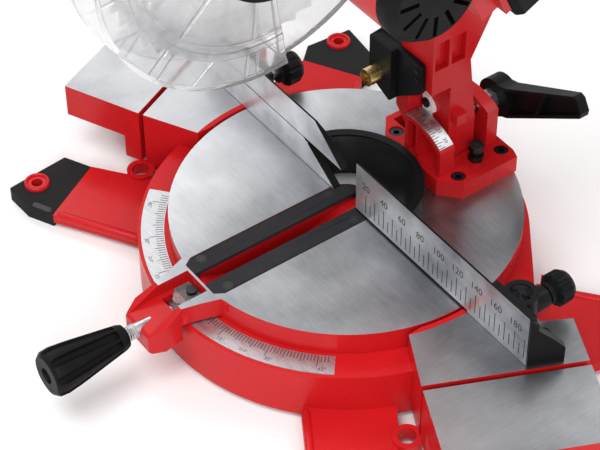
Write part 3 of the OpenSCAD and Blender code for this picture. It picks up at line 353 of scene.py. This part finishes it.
def add_piece(name, bm, body, finish, smooth=None):
    """Makes an object of a finished mesh and lets it ride on a body."""
    bmesh.ops.remove_doubles(bm, verts=bm.verts, dist=0.0005 * MM)
    bmesh.ops.recalc_face_normals(bm, faces=bm.faces)
    mesh = bpy.data.meshes.new(name)
    bm.to_mesh(mesh)
    bm.free()
    mesh.materials.append(FINISH[finish])
    made = bpy.data.objects.new(name, mesh)
    bpy.context.scene.collection.objects.link(made)
    if smooth:
        for face in mesh.polygons:
            face.use_smooth = True
        split = made.modifiers.new("split", "EDGE_SPLIT")
        split.split_angle = math.radians(smooth)
    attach(made, body)
    return made


def prism(bm, outline, lift):
    """Closed prism over a flat outline; lift is the vector of its thickness."""
    low = [bm.verts.new(p) for p in outline]
    high = [bm.verts.new(p + lift) for p in outline]
    bm.faces.new(low)
    bm.faces.new(high)
    for i in range(len(low)):
        j = (i + 1) % len(low)
        bm.faces.new((low[i], low[j], high[j], high[i]))


def mark(bm, centre, right, up, width, height):
    """Printed bar: a thin closed plate on the plane of right and up."""
    corners = [centre + right * (i * width / 2) + up * (j * height / 2)
               for i, j in ((-1, -1), (1, -1), (1, 1), (-1, 1))]
    prism(bm, corners, right.cross(up).normalized() * INK_T)


def numeral(bm, text, size, centre, right, up):
    """Printed number, centred on a point of the plane of right and up."""
    curve = bpy.data.curves.new("numeral", "FONT")
    curve.body = text
    curve.size = size
    curve.align_x = "CENTER"
    curve.align_y = "CENTER"
    curve.extrude = INK_T / 2
    curve.resolution_u = 3
    holder = bpy.data.objects.new("numeral", curve)
    bpy.context.scene.collection.objects.link(holder)
    bpy.context.view_layer.update()
    shape = holder.evaluated_get(bpy.context.evaluated_depsgraph_get())
    mesh = bpy.data.meshes.new_from_object(shape)
    out = right.cross(up).normalized()
    turn = Matrix((right, up, out)).transposed().to_4x4()
    mesh.transform(Matrix.Translation(centre + out * INK_T / 2) @ turn)
    bm.from_mesh(mesh)
    bpy.data.objects.remove(holder)
    bpy.data.curves.remove(curve)
    bpy.data.meshes.remove(mesh)


X, Y, Z = Vector((1, 0, 0)), Vector((0, 1, 0)), Vector((0, 0, 1))


# Shapes carved from the CAD nodes
def boolean(mesh, operation, bm):
    """Mesh after a closed solid is cut from it or joined to it."""
    bmesh.ops.recalc_face_normals(bm, faces=bm.faces)
    tool_mesh = bpy.data.meshes.new("tool")
    bm.to_mesh(tool_mesh)
    bm.free()
    holder = bpy.data.objects.new("holder", mesh)
    tool = bpy.data.objects.new("tool", tool_mesh)
    for made in (holder, tool):
        bpy.context.scene.collection.objects.link(made)
    step = holder.modifiers.new("step", "BOOLEAN")
    step.operation = operation
    step.object = tool
    step.solver = "EXACT"
    bpy.context.view_layer.update()
    shape = holder.evaluated_get(bpy.context.evaluated_depsgraph_get())
    result = bpy.data.meshes.new_from_object(shape)
    bpy.data.objects.remove(holder)
    bpy.data.objects.remove(tool)
    return result


def carved(name, node_name, cuts, joins=()):
    """Copy of a CAD node, cut and built up by closed solids, which stands for the node."""
    bm = bmesh.new()
    bm.from_mesh(NODES[node_name].data)
    bmesh.ops.remove_doubles(bm, verts=bm.verts, dist=WELD_GAP)
    mesh = bpy.data.meshes.new(name)
    bm.to_mesh(mesh)
    bm.free()
    for operation, solids in (("DIFFERENCE", cuts), ("UNION", joins)):
        for solid in solids:
            mesh = boolean(mesh, operation, solid)
    mesh.name = name
    mesh.materials.clear()
    mesh.materials.append(NODES[node_name].data.materials[0])
    made = bpy.data.objects.new(name, mesh)
    bpy.context.scene.collection.objects.link(made)
    soften(made, ROUNDING.get(node_name, 0))
    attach(made, BODY_OF[node_name])
    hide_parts(node_name)


def solid(outline, lift):
    """Closed prism as a mesh of its own, in millimetres."""
    bm = bmesh.new()
    prism(bm, [Vector(p) * MM for p in outline], Vector(lift) * MM)
    return bm


# The base's ring, in millimetres and degrees: its radii, and where it draws in towards the back
RING_TO, RING_BACK, RING_CLEAR = 148.8, 131.2, 165.0
BACK_FROM, BACK_FULL, BACK_LOW = 24.0, 52.0, 45.0
BACK_WALL = 5.5


def back_radius(degree):
    """Outer radius of the base's ring round the back: it draws in from the rear arms."""
    short = max(0.0, BACK_FULL - min(degree, 180.0 - degree)) / (BACK_FULL - BACK_FROM)
    return RING_BACK + (RING_TO - RING_BACK) * short ** 2


def back_band(start, inset, depth, low, high):
    """Solid along the back of the ring: outwards from the drawn in radius, or inwards by a negative depth."""
    degrees = [start + (180 - 2 * start) * i / 60 for i in range(61)]
    near = [(back_radius(d) - inset, math.radians(d)) for d in degrees]
    far = [(max(r + depth, RING_CLEAR) if depth > 0 else r + depth, a) for r, a in near]
    return solid([(r * math.cos(a), r * math.sin(a), low) for r, a in near + far[::-1]], (0, 0, high - low))


def base_shell():
    """Base whose ring is narrow round the back, with a wall under its edge."""
    arm_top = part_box("foot_pads")[1].z / MM + 0.3
    top = RING_TOP / MM
    cuts = (back_band(BACK_FROM, 0, 20, arm_top, top + 2),
            back_band(BACK_LOW, 0, 20, -1, arm_top + 0.1))
    wall = back_band(BACK_FROM + 1, 0.05, -BACK_WALL, 4.2, top - 2)
    carved("base_shell", "base_casting", cuts, (wall,))


def fence_shells():
    """Fences whose backs slope to a thin top edge."""
    edge, face = 1.6, FENCE_FACE / MM
    right = ("fence_shell", "fence_casting", -5, 153, 6.0, 15)
    left = ("slide_shell", "sliding_fence", -200, 0, 10.4, 23)
    for name, node_name, start, end, depth, drop in (right, left):
        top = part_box(node_name)[1].z / MM
        run = depth - edge
        back = face + depth + run / drop * 2
        outline = [(start, face + edge - run / drop, top + 1), (start, back, top + 1),
                   (start, back, top - drop - 2)]
        carved(name, node_name, (solid(outline, (end - start, 0, 0)),))


def arm_shell():
    """Column with a heel beside the bevel scale and a pocket above it, which leaves the pointer in view."""
    t, front, stem = TABLE_TOP / MM, 50.0, 77.05
    pocket = ((-18.5, 49), (18.5, 49), (18.5, 80), (13, 84), (-18.5, 58))
    heel = ((-11.2, 33.5), (-24, 46), (-24, 69.9), (-11.2, 69.9))
    heel_front, heel_back = 62.0, 85.0
    cut = solid([(x, front, t + h) for x, h in pocket], (0, stem - front, 0))
    join = solid([(x, heel_front, t + h) for x, h in heel], (0, heel_back - heel_front, 0))
    carved("arm_shell", "tilt_arm", (cut,), (join,))


# The laser's cover, in millimetres: front of its thin half, top, and where the thick half ends
COVER_FRONT, COVER_TOP, COVER_STEP = 55.0, 105.0, -15.2
COVER_SCREWS_X, COVER_SCREWS_H = 6.5, (92, 99)
INDEX_SCREW_X, INDEX_SCREW_H = -4.6, 54.4


def laser_shell():
    """Laser housing with a cover plate across the column, thin where the head's shield comes down."""
    bm = bmesh.new()
    t, lap = TABLE_TOP / MM, COVER_STEP - 0.8
    low, high = (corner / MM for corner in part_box("laser_housing"))
    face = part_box("tilt_arm")[0].y / MM - 0.05
    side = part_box("tilt_arm")[0].x / MM - 0.05
    thick = ((low.x, 72), (low.x + 4, 68), (side, 60), (COVER_STEP, 61.4), (COVER_STEP, COVER_TOP),
             (low.x, COVER_TOP))
    thin = ((lap, 60.8), (9.5, 80), (10.5, 83), (10.5, 103), (8.5, COVER_TOP), (lap, COVER_TOP))
    for plate, front in ((thick, low.y), (thin, COVER_FRONT)):
        prism(bm, [Vector((x, front, t + h)) * MM for x, h in plate], Y * (face - front) * MM)
    block = ((side, high.y), (low.x + 4, high.y), (low.x, high.y - 4), (low.x, face), (side, face))
    prism(bm, [Vector((x, y, low.z)) * MM for x, y in block], Z * (high.z - low.z) * MM)
    piece = add_piece("laser_shell", bm, BODY_OF["tilt_arm"], "black_plastic")
    soften(piece, ROUNDING["laser_housing"])
    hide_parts("laser_housing")


def knob_y(bm, centre, steps, sides=20):
    """Stepped round head that looks to the front; the steps are (radius, depth) in millimetres."""
    angles = [2 * math.pi * i / sides for i in range(sides)]
    for radius, depth in steps:
        rim = [centre + Vector((radius * math.cos(a), 0, radius * math.sin(a))) * MM for a in angles]
        prism(bm, rim, -Y * depth * MM)


def bevel_index():
    """White index plate of the bevel scale, with its screw and the screws of the laser's cover."""
    bm = bmesh.new()
    low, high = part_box("bevel_pointer")
    outline = ((-9, 38), (-1, 38), (-1, 47), (0, 49.4), (3.2, 49.6), (3.0, 53), (0.6, 56.4), (-3.5, 59.2),
               (-9, 60.2))
    thickness = high.y - low.y - 0.1 * MM
    prism(bm, [Vector((x * MM, low.y, TABLE_TOP + h * MM)) for x, h in outline], Y * thickness)
    piece = add_piece("bevel_index", bm, BODY_OF["tilt_arm"], "white_plastic")
    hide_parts("bevel_pointer")
    bm = bmesh.new()
    centre = Vector((INDEX_SCREW_X * MM, low.y, TABLE_TOP + INDEX_SCREW_H * MM))
    knob_y(bm, centre, ((3.9, 1.4), (2.6, 2.2)))
    for h in COVER_SCREWS_H:
        centre = Vector((COVER_SCREWS_X * MM, COVER_FRONT * MM, TABLE_TOP + h * MM))
        knob_y(bm, centre, ((1.9, 0.8), (1.2, 1.1)))
    add_piece("cover_screws", bm, BODY_OF["tilt_arm"], "black_steel")


def fence_scale():
    """Millimetre ticks and numbers on the right fence's face, counted from the kerf."""
    bm = bmesh.new()
    foot, long_top, short_top, number_mid = 5.5, 22.5, 16.0, 29.0
    tick_width, number_size = 0.75 * MM, 8.4 * MM
    for step in range(20, 191, 5):
        top = long_top if step % 10 == 0 else short_top
        place = Vector((step * MM, FENCE_FACE, TABLE_TOP + (foot + top) / 2 * MM))
        mark(bm, place, X, Z, tick_width, (top - foot) * MM)
    for step in range(20, 181, 20):
        place = Vector((step * MM, FENCE_FACE, TABLE_TOP + number_mid * MM))
        numeral(bm, str(step), number_size, place, X, Z)
    add_piece("fence_print", bm, "base", "ink")


def mitre_print():
    """Degree ticks and numbers on the mitre scale."""
    bm = bmesh.new()
    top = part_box("mitre_scales")[1].z
    inner, number_r, number_size = 130.0, 142.2 * MM, 4.4
    for degree in range(-48, 49):
        a = math.radians(degree)
        out = Vector((math.sin(a), -math.cos(a), 0))
        length = 10.5 if degree % 15 == 0 else 7.4 if degree % 5 == 0 else 5.6
        centre = out * ((inner + length / 2) * MM) + Z * top
        mark(bm, centre, Z.cross(out), -out, 0.5 * MM, length * MM)
    for angle, size in ((15, number_size), (22.5, 3.2), (30, number_size), (45, number_size)):
        for side in (-1, 1):
            a = math.radians(side * angle + 1.5)
            out = Vector((math.sin(a), -math.cos(a), 0))
            text = ("%g" % angle) + "°"
            numeral(bm, text, size * MM, out * number_r + Z * top, Z.cross(out), -out)
    numeral(bm, "0", number_size * MM, -Y * number_r + Z * top, X, Y)
    add_piece("mitre_print", bm, "base", "ink")


def bevel_print():
    """Degree ticks and numbers on the round edge of the bevel scale."""
    bm = bmesh.new()
    low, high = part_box("bevel_scale")
    radius = high.z - TABLE_TOP
    for half in range(-20, 71, 5):
        a = math.radians(half / 2)
        out = Vector((math.sin(a), 0, math.cos(a)))
        length = 5.5 * MM if half % 10 == 0 else 3.0 * MM
        centre = out * radius + Vector((0, low.y + length / 2, TABLE_TOP))
        mark(bm, centre, Y.cross(out), Y, 0.5 * MM, length)
        if half % 20 == 0:
            numeral(bm, str(abs(half // 2)), 4.2 * MM, centre + Y * 5.2 * MM, Y.cross(out), Y)
    add_piece("bevel_print", bm, "turntable", "ink")


def hairline():
    """Red line along the clear pointer."""
    bm = bmesh.new()
    low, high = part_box("mitre_pointer")
    mark(bm, Vector((0, low.y + 5.6 * MM, high.z)), X, Y, 0.45 * MM, 10.0 * MM)
    add_piece("pointer_line", bm, "turntable", "red_ink")


def screw_crosses():
    """Painted shade of the cross slots of the screws in the inserts and the pointer: near-black plates on
    their heads.
    """
    bm = bmesh.new()
    low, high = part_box("insert_screws")
    reach = 3.8 * MM
    places = [Vector((x, y, high.z)) for x in (low.x + reach, high.x - reach)
              for y in (low.y + reach, high.y - reach)]
    low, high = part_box("pointer_screw")
    places.append(Vector(((low.x + high.x) / 2, (low.y + high.y) / 2, high.z)))
    w, h = 0.55 * MM, 2.3 * MM
    corners = ((w, w), (w, h), (-w, h), (-w, w), (-h, w), (-h, -w), (-w, -w), (-w, -h), (w, -h), (w, -w),
               (h, -w), (h, w))
    for count, place in enumerate(places):
        a = math.radians(20 + 37 * count)
        along = Vector((math.cos(a), math.sin(a), 0))
        across = Z.cross(along)
        prism(bm, [place + along * i + across * j for i, j in corners], Z * INK_T)
    add_piece("screw_crosses", bm, "turntable", "painted_slot_shade")


def lock_thread():
    """Screw thread of the lock rod between the nose and the handle."""
    bm = bmesh.new()
    low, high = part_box("lock_rod")
    axis_z = (low.z + high.z) / 2
    radius = (high.z - low.z) / 2
    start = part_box("mitre_handle")[1].y + 0.4 * MM
    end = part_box("turntable")[0].y - 0.5 * MM
    pitch, sides = 1.5 * MM, 24
    count = int((end - start - pitch) / pitch * sides)
    rings = []
    for i in range(count + 1):
        a = 2 * math.pi * i / sides
        y = start + pitch / 2 + pitch * i / sides
        ring = []
        for depth, shift in ((-0.1, -0.62), (0.42, 0.0), (-0.1, 0.62)):
            r = radius + depth * MM
            ring.append(bm.verts.new((r * math.cos(a), y + shift * MM, axis_z + r * math.sin(a))))
        rings.append(ring)
    for one, two in zip(rings, rings[1:]):
        for k in range(3):
            bm.faces.new((one[k], one[(k + 1) % 3], two[(k + 1) % 3], two[k]))
    bm.faces.new(rings[0])
    bm.faces.new(rings[-1])
    add_piece("lock_thread", bm, "mitre_lock", "zinc_steel", 50)


def bead(bm, start, end, radius, sides=10):
    """Rounded ridge between two points, half sunk in what carries it, with domed ends."""
    along = (end - start).normalized()
    across = Z.cross(along)
    rings = []
    length = (end - start).length
    cap = [math.sin(math.pi / 2 * k / 4) for k in range(5)]
    stations = [(radius * (1 - math.cos(math.pi / 2 * k / 4)), max(cap[k], 0.02)) for k in range(5)]
    stations += [(length - s, w) for s, w in reversed(stations)]
    for s, w in stations:
        mid = start + along * s
        rings.append([bm.verts.new(mid + (across * math.cos(2 * math.pi * k / sides)
                                          + Z * math.sin(2 * math.pi * k / sides)) * radius * w)
                      for k in range(sides)])
    for one, two in zip(rings, rings[1:]):
        for k in range(sides):
            j = (k + 1) % sides
            bm.faces.new((one[k], one[j], two[j], two[k]))
    bm.faces.new(rings[0])
    bm.faces.new(rings[-1])


# Ends of the ridges along the arms and of the lips on the pads, for the right half, in millimetres
ARM_RIDGES = (((102, -110.5), (160, -146.0)), ((109, 90.5), (149, 123.5)))
PAD_LIPS = (((165, -147.6), (180, -155.0)), ((157, 147.6), (166, 151.0)))


def ridges(name, ends, top, radius, finish):
    """Rounded ridges on both halves of the base."""
    bm = bmesh.new()
    for side in (-1, 1):
        for start, end in ends:
            bead(bm, Vector((side * start[0] * MM, start[1] * MM, top)),
                 Vector((side * end[0] * MM, end[1] * MM, top)), radius)
    add_piece(name, bm, "base", finish, 40)


def ring_solid(bm, centre, section, sides=48):
    """Closed ring about an upright axis; the section's points are (radius, height)."""
    rings = []
    for i in range(sides):
        a = 2 * math.pi * i / sides
        rings.append([bm.verts.new(centre + Vector((r * math.cos(a), r * math.sin(a), h)))
                      for r, h in section])
    for i in range(sides):
        one, two = rings[i], rings[(i + 1) % sides]
        for k in range(len(section)):
            j = (k + 1) % len(section)
            bm.faces.new((one[k], one[j], two[j], two[k]))


def boss_rims():
    """Raised rims round the bench bolt holes."""
    bm = bmesh.new()
    section = ((7.0, 0.6), (7.2, 2.0), (7.8, 2.7), (8.6, 2.7), (9.4, 2.1), (9.7, 0.8), (9.7, 0.05),
               (8.3, 0.05))
    mounts = {m["name"]: m for m in frame["record"]["mounts"]}
    bolts = mounts["bench_bolts"]["dims"]
    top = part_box("foot_pads")[1].z
    for i in (-1, 1):
        for j in (-1, 1):
            centre = Vector((i * bolts["spacing_x_mm"] / 2 * MM, j * bolts["spacing_y_mm"] / 2 * MM, top))
            ring_solid(bm, centre, [(r * MM, h * MM) for r, h in section])
    add_piece("boss_rims", bm, "base", "red_paint", 50)


def socket_liner():
    """Bright sleeve in the clamp socket."""
    bm = bmesh.new()
    mount = next(m for m in frame["record"]["mounts"] if m["name"] == "clamp_socket")
    place = Vector(mount["pos_m"])
    centre = Vector((place.x, place.y, TABLE_TOP + 0.6 * MM))
    section = ((7.55, 0), (7.9, 0), (7.9, 36.6), (7.55, 37.0))
    ring_solid(bm, centre, [(r * MM, h * MM) for r, h in section])
    add_piece("socket_liner", bm, "base", "zinc_steel", 50)


def bowl_slope():
    """Sloped black skirt inside the bowl behind the blade."""
    bm = bmesh.new()
    section = ((48.9, 21.6), (47.6, 21.6), (33.4, 1.8), (33.4, 0.7), (36.0, 0.7), (48.9, 18.0))
    count, start, sweep = 48, 10.5, 159.0
    rings = []
    for i in range(count + 1):
        a = math.radians(start + sweep * i / count)
        rings.append([bm.verts.new((r * MM * math.cos(a), r * MM * math.sin(a), TABLE_TOP + h * MM))
                      for r, h in section])
    for one, two in zip(rings, rings[1:]):
        for k in range(len(section)):
            j = (k + 1) % len(section)
            bm.faces.new((one[k], one[j], two[j], two[k]))
    bm.faces.new(rings[0])
    bm.faces.new(rings[-1])
    add_piece("bowl_slope", bm, "base", "black_casting", 40)


def at_blade(x, radius, degree):
    """Point about the blade's axis; the angle runs from straight down to the back of the lowered head."""
    a = math.radians(degree)
    y, z = radius * math.sin(a), -radius * math.cos(a)
    c, s = math.cos(CHOP), math.sin(CHOP)
    return BLADE + Vector((x, y * c + z * s, z * c - y * s)) * MM


def sector(bm, low, high, x0, x1, start, end, step=2.0):
    """Closed band between two radii and two X planes about the blade's axis, in millimetres and degrees."""
    full = end - start >= 360
    count = max(2, round((end - start) / step))
    section = ((x0, low), (x0, high), (x1, high), (x1, low))
    rings = []
    for i in range(count if full else count + 1):
        a = start + (end - start) * i / count
        rings.append([bm.verts.new(at_blade(x, r, a)) for x, r in section])
    pairs = list(zip(rings, rings[1:])) + ([(rings[-1], rings[0])] if full else [])
    for one, two in pairs:
        for k in range(4):
            j = (k + 1) % 4
            bm.faces.new((one[k], one[j], two[j], two[k]))
    if not full:
        bm.faces.new(rings[0])
        bm.faces.new(rings[-1])


def spoke(bm, x0, x1, low, high, from_degree, to_degree, width):
    """Straight rib on a side of the guard, between two points given by radius and angle."""
    a, b = at_blade(x0, low, from_degree), at_blade(x0, high, to_degree)
    across = X.cross((b - a).normalized()) * width * MM / 2
    prism(bm, [a - across, b - across, b + across, a + across], X * (x1 - x0) * MM)


# The guard about the blade's axis, in degrees and millimetres
GUARD_FROM, GUARD_TO = -80.0, 72.0
GUARD_HUB = (27.2, 32.4)
GUARD_SIDE_FROM = 30.0
GUARD_RIM = (114.9, 117.95)
GUARD_HALF = 17.3
GUARD_RINGS = ((86.4, 88.4), (92.2, 96.8))
GUARD_SPOKES = (-62, -22, 18, 58)


def guard():
    """Clear guard with a thick rim, and rings and paired spokes moulded on both sides."""
    bm = bmesh.new()
    for side in (-1, 1):
        def span(x0, x1):
            return (side * x0, side * x1) if side > 0 else (side * x1, side * x0)
        sector(bm, GUARD_SIDE_FROM, GUARD_RIM[0] + 0.1, *span(14.7, 16.3), GUARD_FROM, GUARD_TO)
        sector(bm, *GUARD_HUB, *span(14.8, 17.2), 0, 360)
        for low, high in GUARD_RINGS:
            sector(bm, low, high, *span(16.2, GUARD_HALF), GUARD_FROM, GUARD_TO)
        for degree in GUARD_SPOKES:
            for turn in (-2.2, 2.2):
                spoke(bm, *span(16.25, 17.25), 96.6, 115.1, degree + turn, degree + turn, 1.8)
            spoke(bm, *span(16.25, 17.25), 33.0, 86.6, degree, degree, 2.4)
            spoke(bm, *span(16.25, 17.0), 96.6, 115.1, degree - 18, degree - 23, 1.0)
    sector(bm, *GUARD_RIM, -GUARD_HALF, GUARD_HALF, GUARD_FROM, GUARD_TO, 1.5)
    piece = add_piece("guard_shell", bm, "lower_guard", "clear_plastic", 30)
    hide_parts("lower_guard")


fence_scale()
mitre_print()
bevel_print()
hairline()
screw_crosses()
lock_thread()
ridges("arm_ridges", ARM_RIDGES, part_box("foot_pads")[1].z - 1.2 * MM, 3.4 * MM, "red_paint")
ridges("pad_lips", PAD_LIPS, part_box("foot_pads")[1].z - 0.8 * MM, 2.6 * MM, "rubber_worn")
boss_rims()
guard()
base_shell()
fence_shells()
arm_shell()
laser_shell()
bevel_index()
socket_liner()
bowl_slope()

# Camera at the photograph's angle
CAM_TARGET = Vector((0, 0, 62 * MM))
CAM_AZIMUTH = math.radians(52.58)
CAM_HEIGHT = math.radians(43.63)
CAM_ROLL = math.radians(0.69)
CAM_DISTANCE = 1.485
CAM_LENS = 125.8
CAM_SHIFT = (-0.077, -0.0348)


def add_camera():
    """Camera that looks at the table's middle from the photograph's side."""
    flat = math.cos(CAM_HEIGHT)
    out = Vector((math.sin(CAM_AZIMUTH) * flat, -math.cos(CAM_AZIMUTH) * flat, math.sin(CAM_HEIGHT)))
    right = Z.cross(out).normalized()
    up = out.cross(right)
    rolled = right * math.cos(CAM_ROLL) + up * math.sin(CAM_ROLL)
    upright = out.cross(rolled)
    data = bpy.data.cameras.new("camera")
    data.lens = CAM_LENS
    data.sensor_width = 36.0
    data.shift_x, data.shift_y = CAM_SHIFT
    camera = bpy.data.objects.new("camera", data)
    camera.matrix_world = Matrix.Translation(CAM_TARGET + out * CAM_DISTANCE) @ Matrix(
        (rolled, upright, out)).transposed().to_4x4()
    bpy.context.scene.collection.objects.link(camera)
    bpy.context.scene.camera = camera


add_camera()


def add_area(name, place, size, power):
    """Soft lamp that looks at the table."""
    data = bpy.data.lights.new(name, "AREA")
    data.shape = "DISK"
    data.size = size
    data.energy = power
    lamp = bpy.data.objects.new(name, data)
    lamp.location = place
    lamp.rotation_euler = (CAM_TARGET - Vector(place)).to_track_quat("-Z", "Y").to_euler()
    bpy.context.scene.collection.objects.link(lamp)


add_area("key", (0.1, -0.9, 2.1), 1.4, 27)
add_area("fill", (1.6, -0.9, 1.2), 1.0, 19)
add_area("rear", (0.4, 1.4, 1.9), 1.0, 9)
add_area("glow", (-1.6, 0.15, 1.55), 1.0, 7)


# Strength of the world as a light, and as the camera, reflections and clear pieces see it
WORLD_LIGHT, WORLD_SEEN = 0.42, 1.0


def add_world():
    """Even studio light, plain white to the camera and in reflections."""
    world = bpy.data.worlds.new("studio")
    bpy.context.scene.world = world
    world.use_nodes = True
    nodes, links = world.node_tree.nodes, world.node_tree.links
    background = nodes["Background"]
    background.inputs["Color"].default_value = (1, 1, 1, 1)
    path = nodes.new("ShaderNodeLightPath")
    seen = nodes.new("ShaderNodeMath")
    seen.operation = "MAXIMUM"
    links.new(path.outputs["Is Camera Ray"], seen.inputs[0])
    links.new(path.outputs["Is Transmission Ray"], seen.inputs[1])
    bright = nodes.new("ShaderNodeMath")
    bright.operation = "MAXIMUM"
    links.new(seen.outputs[0], bright.inputs[0])
    links.new(path.outputs["Is Glossy Ray"], bright.inputs[1])
    level = nodes.new("ShaderNodeMapRange")
    level.inputs["To Min"].default_value = WORLD_LIGHT
    level.inputs["To Max"].default_value = WORLD_SEEN
    links.new(bright.outputs[0], level.inputs["Value"])
    links.new(level.outputs[0], background.inputs["Strength"])


add_world()


def add_floor():
    """White floor of the stage."""
    mesh = bpy.data.meshes.new("floor")
    half = 4.0
    corners = [(-half, -half, 0), (half, -half, 0), (half, half, 0), (-half, half, 0)]
    mesh.from_pydata(corners, [], [(0, 1, 2, 3)])
    floor = bpy.data.objects.new("floor", mesh)
    bpy.context.scene.collection.objects.link(floor)
    g = Graph("floor")
    g.set(Base_Color=rgb(0.95, 0.95, 0.95), Roughness=0.6)
    mesh.materials.append(g.material)


add_floor()
bpy.context.scene.view_settings.view_transform = "Standard"
